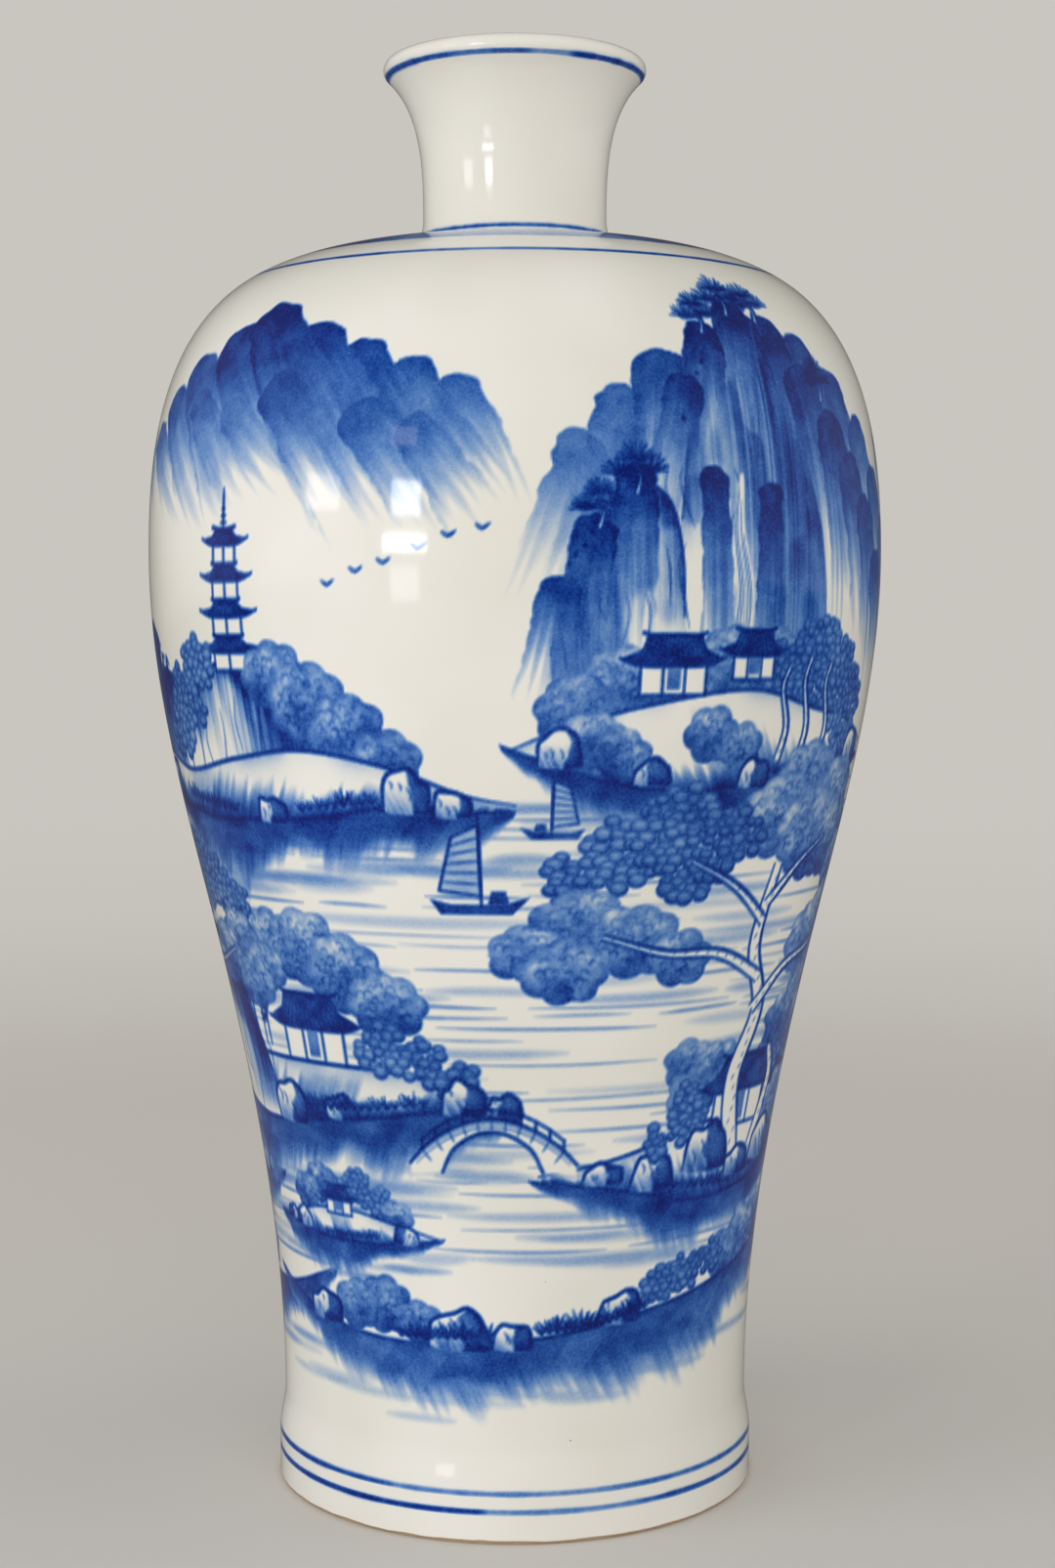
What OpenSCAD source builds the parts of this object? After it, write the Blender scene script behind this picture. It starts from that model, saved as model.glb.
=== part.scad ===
// Meiping vase, thrown in sections that are lapped into each other and joined with slip.
// Millimetres. The origin is the centre of the foot on the standing surface, and +Z is up.
// The outline is one smooth curve through five places on the body: waist, flank, belly,
// shoulder and neck root. Each has a radius, a height and a lean from upright.

/* [Foot] */
// Outer radius of the foot
foot_r = 67.6; // [64:0.1:71]
// Height of the upright band on the foot
foot_band_h = 13; // [9:0.5:17]
// Width of the bevel at the foot's outer edge
foot_bevel = 1.2; // [0.5:0.1:2.5]
// Width of the ring that the vase stands on
foot_ring_w = 8; // [5:0.5:11]
// Depth of the recess under the base
recess_h = 7; // [4:0.5:9]
// How much further the middle of the recess rises
recess_rise = 1.2; // [0.4:0.1:2]
// Radius of the corner inside the foot ring
recess_fillet = 2.5; // [1:0.5:3.5]
// Thickness of the floor
floor_t = 9; // [7:0.5:12]
// Radius between the floor and the wall, inside
floor_fillet = 9; // [4:0.5:11]

/* [Body outline] */
// Radius at the waist, the narrowest place above the foot
waist_r = 66.1; // [62:0.1:68]
// Height of the waist
waist_z = 25; // [22:0.5:35]
// Radius on the flank, where the lower and the upper body meet
flank_r = 82.2; // [76:0.1:88]
// Height of that place
flank_z = 145; // [125:0.5:165]
// How far the flank leans out from upright, in degrees
flank_lean = 12.8; // [8:0.1:17]
// Radius at the belly, the widest place
belly_r = 103; // [95:0.1:112]
// Height of the belly
belly_z = 261; // [245:0.5:275]
// Radius where the shoulder turns in
shoulder_r = 83.1; // [78:0.1:88]
// Height of that place
shoulder_z = 331; // [325:0.5:336]
// How far the shoulder leans in there, in degrees
shoulder_lean = 46; // [40:0.5:52]
// Radius where the shoulder meets the neck
neck_root_r = 28.5; // [27.4:0.1:32]
// Height of that place
neck_root_z = 348.5; // [345:0.5:356]
// How far the shoulder leans in there, in degrees, nearly level
neck_root_lean = 84; // [78:0.5:87]

/* [Neck and lip] */
// Height from the neck root to the top of the lip
neck_h = 51.5; // [44:0.5:62]
// Outer radius of the neck at its narrowest
throat_r = 25.8; // [24.5:0.1:27.5]
// Height of the narrowest place above the neck root
throat_h = 8; // [6:0.5:12]
// How far the root of the neck leans in, in degrees
neck_foot_lean = 50; // [35:1:65]
// Outer radius of the lip
lip_r = 36.9; // [34:0.1:40]
// Radius of the roll of the lip
lip_roll_r = 2.8; // [2:0.1:3.5]
// How far the neck flares out under the lip, in degrees
lip_flare = 47; // [35:1:58]
// How far the mouth closes in below the lip, in degrees
mouth_lean = 30; // [20:1:45]
// Radius of the straight throat that a stopper or flower holder fits
bore_r = 20; // [17:0.1:21]
// Height of the top of the straight throat above the neck root
bore_top_h = 23.5; // [18:0.5:28]

/* [Wall and joints] */
// Thickness of the wall
wall = 6; // [4.5:0.1:7.5]
// Thickness of the slip between two sections
slip_t = 0.8; // [0.4:0.1:1.2]
// Length of the lap where one section stands in the next
lap_h = 6; // [4:0.5:9]
// Thickness of the neck's spigot, which sits in the shoulder
spigot_t = 4.5; // [3.5:0.1:5]
// How far the spigot reaches past the inside of the shoulder
spigot_over = 0.5; // [0.2:0.1:2]

/* [Hidden] */
$fn = 128;

porcelain = "#ebe6da";
slip_clay = "#d6cfc0";
span_steps = 16;
arc_steps = 8;
hold = 1 / 3;

// Places on the profile: [radius, height, lean from upright going up, outwards positive]
waist = [waist_r, waist_z, 0];
flank = [flank_r, flank_z, flank_lean];
belly = [belly_r, belly_z, 0];
shoulder_turn = [shoulder_r, shoulder_z, -shoulder_lean];
neck_root = [neck_root_r, neck_root_z, -neck_root_lean];

floor_z = recess_h + recess_rise + floor_t;
lap_in = wall / 2;
spigot_r = bore_r + spigot_t;
collar_r = spigot_r + slip_t;
neck_seat_z = neck_root_z + slip_t;
throat_z = neck_root_z + throat_h;
top_z = neck_root_z + neck_h;
bore_top_z = neck_root_z + bore_top_h;
spigot_z = neck_root_z - wall - spigot_over;

function leaning(angle) = [sin(angle), cos(angle)];
function upside_down(points) = [for (i = [len(points) - 1 : -1 : 0]) points[i]];

// A cubic curve from one place to the next, along the lean of both
function span(from, to) =
    let (p = [from[0], from[1]], q = [to[0], to[1]], reach = norm(q - p) * hold)
    [p, p + reach * leaning(from[2]), q - reach * leaning(to[2]), q];
function on_span(s, u) =
    pow(1 - u, 3) * s[0] + 3 * u * pow(1 - u, 2) * s[1]
    + 3 * u * u * (1 - u) * s[2] + pow(u, 3) * s[3];
function along_span(s, u) =
    3 * pow(1 - u, 2) * (s[1] - s[0]) + 6 * u * (1 - u) * (s[2] - s[1])
    + 3 * u * u * (s[3] - s[2]);
function span_points(s) = [for (k = [0 : span_steps]) on_span(s, k / span_steps)];
function arc(centre, r, from, to) =
    [for (k = [0 : arc_steps])
        let (a = from + (to - from) * k / arc_steps)
        centre + r * [cos(a), sin(a)]];

// The body's outer curve. A whole t is a place in the list: waist 0, flank 1, belly 2, and on.
BODY = [span(waist, flank), span(flank, belly),
        span(belly, shoulder_turn), span(shoulder_turn, neck_root)];
waist_index = 0;
flank_index = 1;
belly_index = 2;
neck_index = 4;

// A point of the wall at t, so deep below the outer surface, square to it
function in_wall(t, depth) =
    let (i = min(floor(t), len(BODY) - 1),
         along = along_span(BODY[i], t - i),
         d = along / norm(along))
    on_span(BODY[i], t - i) + depth * [-d[1], d[0]];
// The step in t that goes this far along the wall, upwards from a place
function step_t(t, length) = length / norm(along_span(BODY[floor(t)], t - floor(t)));
function wall_line(t0, t1, depth) =
    let (steps = span_steps * max(1, round(t1 - t0)))
    [for (k = [0 : steps]) in_wall(t0 + (t1 - t0) * k / steps, depth)];

// The top edge of a section: a ledge outside and a tongue inside, from the outside in
function tongue(t) =
    let (up = t + step_t(t, lap_h))
    [in_wall(t, 0), in_wall(t, lap_in), in_wall(up, lap_in), in_wall(up, wall)];
// The bottom edge of the next section, which laps over the tongue with room for the slip
function rebate(t) =
    let (low = t + step_t(t, slip_t), up = t + step_t(t, lap_h + slip_t))
    [in_wall(low, 0), in_wall(low, lap_in - slip_t),
     in_wall(up, lap_in - slip_t), in_wall(up, wall)];

// A section of the wall between two joints
function section(t0, t1) =
    concat(wall_line(t0 + step_t(t0, slip_t), t1, 0),
           [for (k = [1 : 2]) tongue(t1)[k]],
           upside_down(wall_line(t0 + step_t(t0, lap_h + slip_t), t1 + step_t(t1, lap_h), wall)),
           [for (k = [2 : -1 : 1]) rebate(t0)[k]]);

module turned(colour, points) {
    color(colour) rotate_extrude() polygon(points);
}

module slip_ring(t) {
    turned(slip_clay, concat(tongue(t), upside_down(rebate(t))));
}

// Foot ring, recessed base and floor, up to the waist
module foot() {
    ring_in_r = foot_r - foot_ring_w;
    recess_r = ring_in_r - recess_fillet;
    inside_r = waist_r - wall;
    turned(porcelain, concat(
        [[0, recess_h + recess_rise]],
        arc([recess_r, recess_h - recess_fillet], recess_fillet, 90, 0),
        [[ring_in_r, foot_bevel], [ring_in_r + foot_bevel, 0],
         [foot_r - foot_bevel, 0], [foot_r, foot_bevel]],
        span_points(span([foot_r, foot_band_h, 0], waist)),
        [for (k = [1 : 3]) tongue(waist_index)[k]],
        arc([inside_r - floor_fillet, floor_z + floor_fillet], floor_fillet, 0, -90),
        [[0, floor_z]]));
}

module foot_seam() { slip_ring(waist_index); }

module lower_body() { turned(porcelain, section(waist_index, flank_index)); }

module flank_seam() { slip_ring(flank_index); }

module upper_body() { turned(porcelain, section(flank_index, belly_index)); }

module belly_seam() { slip_ring(belly_index); }

// The dome from the belly to the neck, with a round opening that the neck's spigot sits in
module shoulder() {
    edge_z = in_wall(neck_index, wall)[1];
    turned(porcelain, concat(
        wall_line(belly_index + step_t(belly_index, slip_t), neck_index, 0),
        [[collar_r, neck_root_z], [collar_r, edge_z]],
        upside_down(wall_line(belly_index + step_t(belly_index, lap_h + slip_t), neck_index, wall)),
        [for (k = [2 : -1 : 1]) rebate(belly_index)[k]]));
}

module neck_seam() {
    edge_z = in_wall(neck_index, wall)[1];
    turned(slip_clay, [
        [neck_root_r, neck_root_z], [neck_root_r, neck_seat_z], [spigot_r, neck_seat_z],
        [spigot_r, edge_z], [collar_r, edge_z], [collar_r, neck_root_z]]);
}

// Neck and rolled lip in one piece, with a straight throat and a spigot below
module neck() {
    roll = [lip_r - lip_roll_r, top_z - lip_roll_r];
    under_lip = roll + lip_roll_r * [cos(lip_flare), -sin(lip_flare)];
    in_lip = roll + lip_roll_r * [-cos(mouth_lean), sin(mouth_lean)];
    outside = concat(
        span_points(span([neck_root_r, neck_seat_z, -neck_foot_lean], [throat_r, throat_z, 0])),
        span_points(span([throat_r, throat_z, 0], [under_lip[0], under_lip[1], lip_flare])));
    mouth = span_points(span([bore_r, bore_top_z, 0], [in_lip[0], in_lip[1], mouth_lean]));
    turned(porcelain, concat(
        [[spigot_r, spigot_z], [spigot_r, neck_seat_z]],
        outside,
        arc(roll, lip_roll_r, -lip_flare, 90),
        arc(roll, lip_roll_r, 90, 180 - mouth_lean),
        upside_down(mouth),
        [[bore_r, spigot_z]]));
}

foot();
foot_seam();
lower_body();
flank_seam();
upper_body();
belly_seam();
shoulder();
neck_seam();
neck();
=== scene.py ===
from math import ceil, cos, hypot, pi, radians, sin

import bmesh
import bpy
import numpy as np
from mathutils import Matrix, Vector


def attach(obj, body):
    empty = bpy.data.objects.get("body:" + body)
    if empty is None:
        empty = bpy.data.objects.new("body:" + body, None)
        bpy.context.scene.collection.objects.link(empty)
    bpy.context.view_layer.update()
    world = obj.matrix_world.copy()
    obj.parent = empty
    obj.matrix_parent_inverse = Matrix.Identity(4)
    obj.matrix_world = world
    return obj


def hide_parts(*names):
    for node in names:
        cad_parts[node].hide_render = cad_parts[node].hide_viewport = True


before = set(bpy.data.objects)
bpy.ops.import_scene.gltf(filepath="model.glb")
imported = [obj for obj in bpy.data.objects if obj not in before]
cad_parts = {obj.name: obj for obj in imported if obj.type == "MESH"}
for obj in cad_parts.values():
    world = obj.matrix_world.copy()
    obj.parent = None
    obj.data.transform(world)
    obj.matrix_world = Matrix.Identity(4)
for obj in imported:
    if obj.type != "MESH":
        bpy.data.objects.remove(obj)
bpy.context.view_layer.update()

MM = 0.001


# The outline

# Places on the outer wall: radius, height, lean from upright going up, outwards positive
FOOT_TOP = (67.6, 13.0, 0.0)
WAIST = (66.1, 25.0, 0.0)
FLANK = (82.2, 145.0, 12.8)
BELLY = (103.0, 261.0, 0.0)
SHOULDER_TURN = (83.1, 331.0, -46.0)
NECK_ROOT = (28.5, 348.5, -84.0)
NECK_FOOT = (28.5, 348.5, -50.0)
THROAT = (25.8, 356.5, 0.0)
LIP_ROLL = (34.1, 397.2)
LIP_ROLL_R = 2.8
LIP_FLARE = 47
MOUTH_LEAN = 30
BORE_R = 20.0
BORE_TOP_Z = 372.0
SPIGOT_R = 24.5
SPIGOT_Z = 342.0
WALL_T = 6.0
LAP_H = 6.0
FOOT_BEVEL = 1.2
FOOT_RING_W = 8.0
RECESS_H = 7.0
RECESS_RISE = 1.2
RECESS_FILLET = 2.5
FLOOR_T = 9.0
FLOOR_FILLET = 9.0


def leaning(angle):
    return np.array([sin(radians(angle)), cos(radians(angle))])


def span(low, high):
    """The four handles of the curve from one place to the next, along the lean of both."""
    p, q = np.array(low[:2]), np.array(high[:2])
    reach = np.hypot(*(q - p)) / 3
    return p, p + reach * leaning(low[2]), q - reach * leaning(high[2]), q


def trace(low, high, depth=0.0, start=0.0, end=1.0, steps=240):
    """Points of the wall from one place to the next, so deep below its outer surface."""
    a, b, c, d = span(low, high)
    u = np.linspace(start, end, steps + 1)[:, None]
    at = (1 - u) ** 3 * a + 3 * u * (1 - u) ** 2 * b + 3 * u * u * (1 - u) * c + u ** 3 * d
    along = (1 - u) ** 2 * (b - a) + 2 * u * (1 - u) * (c - b) + u * u * (d - c)
    along /= np.linalg.norm(along, axis=1)[:, None]
    return at + depth * np.stack([-along[:, 1], along[:, 0]], 1)


def arc(centre, r, start, end, steps=10):
    turn = np.radians(np.linspace(start, end, steps + 1))
    return np.array(centre) + r * np.stack([np.cos(turn), np.sin(turn)], 1)


def lengths(points):
    """How far along the line each point lies."""
    return np.concatenate([[0], np.cumsum(np.hypot(*np.diff(points, axis=0).T))])


def evenly(points, pitch):
    """The same line in even steps of about pitch."""
    along = lengths(points)
    even = np.linspace(0, along[-1], max(2, round(along[-1] / pitch) + 1))
    return np.stack([np.interp(even, along, points[:, k]) for k in (0, 1)], 1)


def lap(low, high):
    """The joint at the foot of a span: a ledge outside and a tongue inside, and the tongue's reach."""
    a, b, _, _ = span(low, high)
    up = LAP_H / (3 * np.hypot(*(b - a)))
    edge = [trace(low, high, depth, start)[0]
            for depth, start in ((0, 0), (WALL_T / 2, 0), (WALL_T / 2, up), (WALL_T, up))]
    return np.array(edge), up


WAIST_LAP, WAIST_UP = lap(WAIST, FLANK)
FLANK_LAP, FLANK_UP = lap(FLANK, BELLY)
BELLY_LAP, BELLY_UP = lap(BELLY, SHOULDER_TURN)
UNDER_LIP = LIP_ROLL + LIP_ROLL_R * np.array([cos(radians(LIP_FLARE)), -sin(radians(LIP_FLARE))])
IN_LIP = LIP_ROLL + LIP_ROLL_R * np.array([-cos(radians(MOUTH_LEAN)), sin(radians(MOUTH_LEAN))])

# The outer wall of each section, from the foot's edge up to the rim
OUTER = {
    "foot": np.vstack([[FOOT_TOP[0], FOOT_BEVEL], trace(FOOT_TOP, WAIST)]),
    "lower_body": trace(WAIST, FLANK),
    "upper_body": trace(FLANK, BELLY),
    "shoulder": np.vstack([trace(BELLY, SHOULDER_TURN)[:-1], trace(SHOULDER_TURN, NECK_ROOT)]),
    "neck": np.vstack([trace(NECK_FOOT, THROAT)[:-1], trace(THROAT, (*UNDER_LIP, LIP_FLARE))[:-1],
                       arc(LIP_ROLL, LIP_ROLL_R, -LIP_FLARE, 0)]),
}
WALL_LINE = np.vstack([OUTER["foot"]] + [OUTER[name][1:] for name in list(OUTER)[1:]])


# The brush

# The noise looks its values up in one fixed table, by way of one fixed shuffle of its places
TABLE_SIZE = 4096
WRAP = TABLE_SIZE - 1
TABLE = np.random.default_rng(7).random(TABLE_SIZE).astype(np.float32)
SHUFFLE = np.random.default_rng(8).permutation(TABLE_SIZE)
LINE_STRIDE = 131
PLANE_STRIDE = 57
# How much a pulled lobe opens out, how streaky it dries, and how soon it fades
LOBE_SPREAD = 0.25
LOBE_STREAK = 0.45
LOBE_FADE = 1.1
# A drawn line is followed in steps of so many mm, and in at least so many pieces, so that it
# can thin towards its ends
LINE_STEP_MM = 0.9
LINE_PIECES = 7
# Room left round a filled outline
AREA_PAD_MM = 2


def ease(t):
    t = np.clip(t, 0.0, 1.0)
    return t * t * (3.0 - 2.0 * t)


def rough(x, seed):
    """Smooth noise along a line, 0 to 1."""
    i = np.floor(x).astype(int)
    f = ease(x - i)
    a = TABLE[SHUFFLE[(i + LINE_STRIDE * seed) & WRAP]]
    b = TABLE[SHUFFLE[(i + 1 + LINE_STRIDE * seed) & WRAP]]
    return a + (b - a) * f


def mottle(x, y, seed):
    """Smooth noise over a plane, 0 to 1."""
    i, j = np.floor(x).astype(int), np.floor(y).astype(int)
    f, g = ease(x - i), ease(y - j)

    def corner(di, dj):
        column = SHUFFLE[(i + di + PLANE_STRIDE * seed) & WRAP]
        return TABLE[SHUFFLE[(column + j + dj) & WRAP]]
    low = corner(0, 0) * (1 - f) + corner(1, 0) * f
    high = corner(0, 1) * (1 - f) + corner(1, 1) * f
    return low * (1 - g) + high * g


def marbled(x, y, size, seed):
    """Noise in soft, crooked patches of about this size."""
    u, v = 0.87 * x - 0.5 * y, 0.5 * x + 0.87 * y
    u = u + 0.9 * size * (mottle(u / size, v / size, seed + 5) - 0.5)
    v = v + 0.9 * size * (mottle(v / size, u / size, seed + 6) - 0.5)
    small = mottle(2.3 * v / size, 2.3 * u / size, seed + 1)
    return 0.65 * mottle(u / size, v / size, seed) + 0.35 * small


def hairs(lane, seed, fine=0.5, coarse=1.5, shares=(0.5, 0.5)):
    """The streaks that the hairs of a brush leave, over places counted across it in mm."""
    return shares[0] * rough(lane / fine, seed) + shares[1] * rough(lane / coarse, seed + 1)


def pooled(depth, reach):
    """Where a wash gathered: 1 at an edge, fading inwards over about this many mm."""
    return np.exp(-np.clip(depth, 0, None) / reach)


def chopped(points, most):
    """A path of straight runs, cut into pieces of at most this length."""
    out = [points[:1]]
    for a, b in zip(points, points[1:]):
        n = max(1, ceil(hypot(*(b - a)) / most))
        out.append(a + (b - a) * (np.arange(1, n + 1) / n)[:, None])
    return np.vstack(out)


def curve(points, step=1.0):
    """A smooth line through the points, sampled about every step mm."""
    p = np.asarray(points, float)
    if len(p) == 2:
        n = max(2, int(hypot(*(p[1] - p[0])) / step))
        return p[0] + (p[1] - p[0]) * np.linspace(0, 1, n + 1)[:, None]
    ends = np.vstack([2 * p[0] - p[1], p, 2 * p[-1] - p[-2]])
    out = []
    for a, b, c, d in zip(ends, ends[1:], ends[2:], ends[3:]):
        n = max(2, int(hypot(*(c - b)) / step))
        t = np.linspace(0, 1, n, endpoint=False)[:, None]
        out.append(0.5 * (2 * b + (c - a) * t + (2 * a - 5 * b + 4 * c - d) * t ** 2
                          + (3 * b - a - 3 * c + d) * t ** 3))
    return np.vstack(out + [p[-1:]])


class Tile:
    """A window of the unrolled body in local mm, x to the right and y up. It goes on past the
    seam at the back, and what lies above or below the painted wall is cut off."""
    def __init__(self, brush, x0, x1, y0, y1):
        pitch_x, pitch_y = brush.pitch_x, brush.pitch_y
        low, high = sorted((x0 / pitch_x, x1 / pitch_x))
        c0 = int(np.floor(brush.column + low))
        c1 = int(np.ceil(brush.column + high))
        r0 = max(0, int(np.floor(brush.row + y0 / pitch_y)))
        r1 = min(brush.rows, int(np.ceil(brush.row + y1 / pitch_y)) + 1)
        columns, rows = np.arange(c0, c1 + 1), np.arange(r0, max(r1, r0))
        self.brush = brush
        self.window = np.ix_(rows, columns % brush.columns)
        self.x = ((columns - brush.column) * pitch_x)[None, :]
        self.y = ((rows - brush.row) * pitch_y)[:, None]

    def lay(self, alpha):
        """Adds cobalt over what is there."""
        d = self.brush.cobalt[self.window]
        self.brush.cobalt[self.window] = d + (1 - d) * np.clip(alpha, 0, 1)

    def wipe(self, mask):
        """Keeps a place white, or thins what is there."""
        self.brush.cobalt[self.window] *= 1 - np.clip(mask, 0, 1)

    def measured(self, x, y, angle):
        """How far each place lies from a point, along a direction and to the left of it."""
        c, s = cos(radians(angle)), sin(radians(angle))
        dx, dy = self.x - x, self.y - y
        return dx * c + dy * s, dy * c - dx * s


class Brush:
    """Paints on the unrolled wall: columns go round it, rows go up along it."""
    # Half the width over which a stroke's edge softens
    EDGE_MM = 0.32

    def __init__(self, wall_line, pitch, seed):
        even = evenly(wall_line, pitch)
        self.radii, self.heights = even[:, 0], even[:, 1]
        self.rows = len(even)
        self.row_mm = lengths(wall_line)[-1] / (self.rows - 1)
        self.columns = 4 * round(2 * pi * self.radii.max() / pitch / 4)
        self.cobalt = np.zeros((self.rows, self.columns), np.float32)
        self.dice = np.random.default_rng(seed)

    def at(self, turn, height, grow=1.0, face=1):
        """Sets the local origin, in degrees round from the front and mm up, and the scale there.
        With face -1 all that is painted there is mirrored."""
        row = np.interp(height, self.heights, np.arange(self.rows))
        self.at_row(turn, float(row), grow, face)

    def at_place(self, turn, place):
        """The same at the point of the wall nearest to a radius and a height."""
        off = np.hypot(self.radii - place[0], self.heights - place[1])
        self.at_row(turn, float(np.argmin(off)), 1.0, 1)

    def at_row(self, turn, row, grow, face):
        self.row = row
        r = self.radii[int(row)]
        self.pitch_x = 2 * pi * r / self.columns / grow * face
        self.pitch_y = self.row_mm / grow
        self.edge = self.EDGE_MM / grow
        self.column = (turn / 360 + 0.5) * self.columns

    def any(self, low, high):
        return float(self.dice.uniform(low, high))

    def tile(self, x0, x1, y0, y1):
        return Tile(self, x0, x1, y0, y1)

    def around(self, points, pad):
        """The tile that holds these points, with so much to spare."""
        (x0, y0), (x1, y1) = np.min(points, axis=0), np.max(points, axis=0)
        return self.tile(x0 - pad, x1 + pad, y0 - pad, y1 + pad)

    def within(self, depth):
        """1 inside and 0 outside, over the soft width of the brush's edge."""
        return np.clip(depth / (2 * self.edge) + 0.5, 0, 1)

    # Strokes

    def line(self, points, width, tone, taper=0.3, smooth=True, edge=None):
        """A drawn line that thins towards both ends."""
        edge = edge or self.edge
        path = curve(points, LINE_STEP_MM) if smooth else np.asarray(points, float)
        path = chopped(path, lengths(path)[-1] / LINE_PIECES + 0.01)
        along = lengths(path)
        press = 1 - (1 - taper) * np.abs(2 * along / along[-1] - 1) ** 3
        pad = width / 2 + edge
        tile = self.around(path, pad)
        if not tile.y.size:
            return
        layer = np.zeros((tile.y.shape[0], tile.x.shape[1]), np.float32)
        reach = abs(pad / self.pitch_x), pad / self.pitch_y
        column = (path[:, 0] - tile.x[0, 0]) / self.pitch_x
        row = (path[:, 1] - tile.y[0, 0]) / self.pitch_y
        for k in range(len(path) - 1):
            c0 = max(0, int(min(column[k], column[k + 1]) - reach[0]))
            c1 = int(max(column[k], column[k + 1]) + reach[0]) + 2
            r0 = max(0, int(min(row[k], row[k + 1]) - reach[1]))
            r1 = int(max(row[k], row[k + 1]) + reach[1]) + 2
            dx, dy = path[k + 1] - path[k]
            x, y = tile.x[:, c0:c1] - path[k, 0], tile.y[r0:r1] - path[k, 1]
            t = np.clip((x * dx + y * dy) / (dx * dx + dy * dy + 1e-9), 0, 1)
            w = press[k] + (press[k + 1] - press[k]) * t
            depth = width * w / 2 + edge - np.hypot(x - t * dx, y - t * dy)
            part = layer[r0:r1, c0:c1]
            np.maximum(part, tone * (0.8 + 0.2 * w) * np.clip(depth / (2 * edge), 0, 1), out=part)
        tile.lay(layer)

    def dab(self, x, y, angle, length, width, tone):
        """One press of the brush: a leaf or a dot, pointed at the far end."""
        tile = self.around([(x, y)], length + width)
        along, across = tile.measured(x, y, angle)
        t = along / length
        half = width / 2 * np.sqrt(np.clip(4 * t * (1 - t), 0, 1)) * (1.15 - 0.5 * t)
        pressed = self.within(half - np.abs(across))
        tile.lay(tone * pressed * (t > -0.05) * (t < 1.05) * (half > 0.02))

    def lobe(self, x, y, angle, length, width, tone, cover):
        """A broad brush pulled from a rounded, heavy head to a dry, streaky tail."""
        seed = self.dice.integers(TABLE_SIZE)
        tail = (x + 1.15 * length * cos(radians(angle)), y + 1.15 * length * sin(radians(angle)))
        tile = self.around([(x, y), tail], width * (1 + LOBE_SPREAD))
        odd, bend = TABLE[seed], (TABLE[(seed + 9) & WRAP] - 0.5) * 0.5 * width
        along, across = tile.measured(x, y, angle)
        u = along / length
        across = across + bend * u * u + (odd - 0.5) * 0.35 * np.minimum(along, 0)
        knobs = 0.11 * width * (rough(along / (0.34 * width), seed + 5) - 0.5)
        small = rough(along / (0.13 * width) + np.sign(across) * 9, seed + 6)
        knobs = knobs + 0.05 * width * (small - 0.5)
        opened = 1 + LOBE_SPREAD * np.clip(u, 0, 1.2)
        round_off = np.arctan2(across, -along)
        head = width / 2 * (1 + 0.16 * (rough(round_off * 2.2 + 7, seed + 7) - 0.5))
        head = head - np.hypot(np.minimum(along, 0) * (0.85 + 0.75 * odd), across)
        inside = np.where(along < 0, head, width / 2 * opened - np.abs(across)) + knobs
        mask = self.within(inside)
        lane = across / opened
        reach = 0.62 + 0.55 * rough(lane / 0.9, seed + 2)
        run = np.where(u < 0, 1.0, np.clip(1 - u / reach, 0, 1) ** LOBE_FADE)
        hair = hairs(lane, seed, 0.55, 1.7, (0.55, 0.45))
        dry = 1 - LOBE_STREAK * np.clip(u * 1.6, 0.15, 1) * hair * 1.5
        pool = 0.22 * pooled(inside, 0.7) * np.clip(1 - 1.4 * u, 0, 1)
        patch = 0.80 + 0.42 * marbled(tile.x, tile.y, 5.0, seed + 3)
        tile.wipe(mask * cover * np.clip(1.15 - u, 0, 1) * np.clip(run * 1.6, 0, 1))
        tile.lay(mask * np.clip(tone * run * dry * patch + pool * tone, 0, 1))

    # Flat shapes

    def depth_in(self, tile, outline):
        """How deep each place lies inside an outline, mm; negative outside."""
        nearest = np.full((tile.y.shape[0], tile.x.shape[1]), np.inf)
        inside = np.zeros(nearest.shape, bool)
        for (ax, ay), (bx, by) in zip(outline, np.roll(outline, -1, axis=0)):
            dx, dy = bx - ax, by - ay
            side2 = dx * dx + dy * dy
            if side2 < 1e-9:
                continue
            t = np.clip(((tile.x - ax) * dx + (tile.y - ay) * dy) / side2, 0, 1)
            off2 = (tile.x - ax - t * dx) ** 2 + (tile.y - ay - t * dy) ** 2
            np.minimum(nearest, off2, out=nearest)
            if ay != by:
                crossed = (ay > tile.y) != (by > tile.y)
                inside ^= crossed & (tile.x < dx * (tile.y - ay) / dy + ax)
        return np.where(inside, 1, -1) * np.sqrt(nearest)

    def area(self, points, smooth=True, step=1.2):
        """A tile round a closed outline, with the depth inside the outline and its mask."""
        outline = np.asarray(points, float)
        if smooth:
            outline = curve(np.vstack([outline, outline[:1]]), step)[:-1]
        tile = self.around(outline, AREA_PAD_MM)
        depth = self.depth_in(tile, outline)
        return tile, depth, self.within(depth)

    def fill(self, points, tone, rim=0.15):
        """A wash inside a straight-sided outline, a little darker where it dried at its edge."""
        tile, depth, mask = self.area(points, smooth=False)
        tile.wipe(mask)
        patch = 0.75 + 0.5 * mottle(tile.x / 2.5, tile.y / 2.0, int(self.dice.integers(TABLE_SIZE)))
        tile.lay(mask * np.clip(tone * patch + rim * pooled(depth, 0.6), 0, 1))

    def keep_white(self, points):
        """Leaves the inside of a straight-sided outline white."""
        tile, _, mask = self.area(points, smooth=False)
        tile.wipe(mask)


# Hills, rock and water

WATER_TONE = 0.34
WATER_GAP = 3.1
CLUMP_SEEDS = 4000


def lobes(b, specs, tone=1.0, cover=0.9):
    """Several pulled lobes, back to front: x, y, angle, length, width, tone."""
    for x, y, angle, length, width, depth in specs:
        b.lobe(x, y, angle, length, width, depth * tone, cover)


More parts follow.
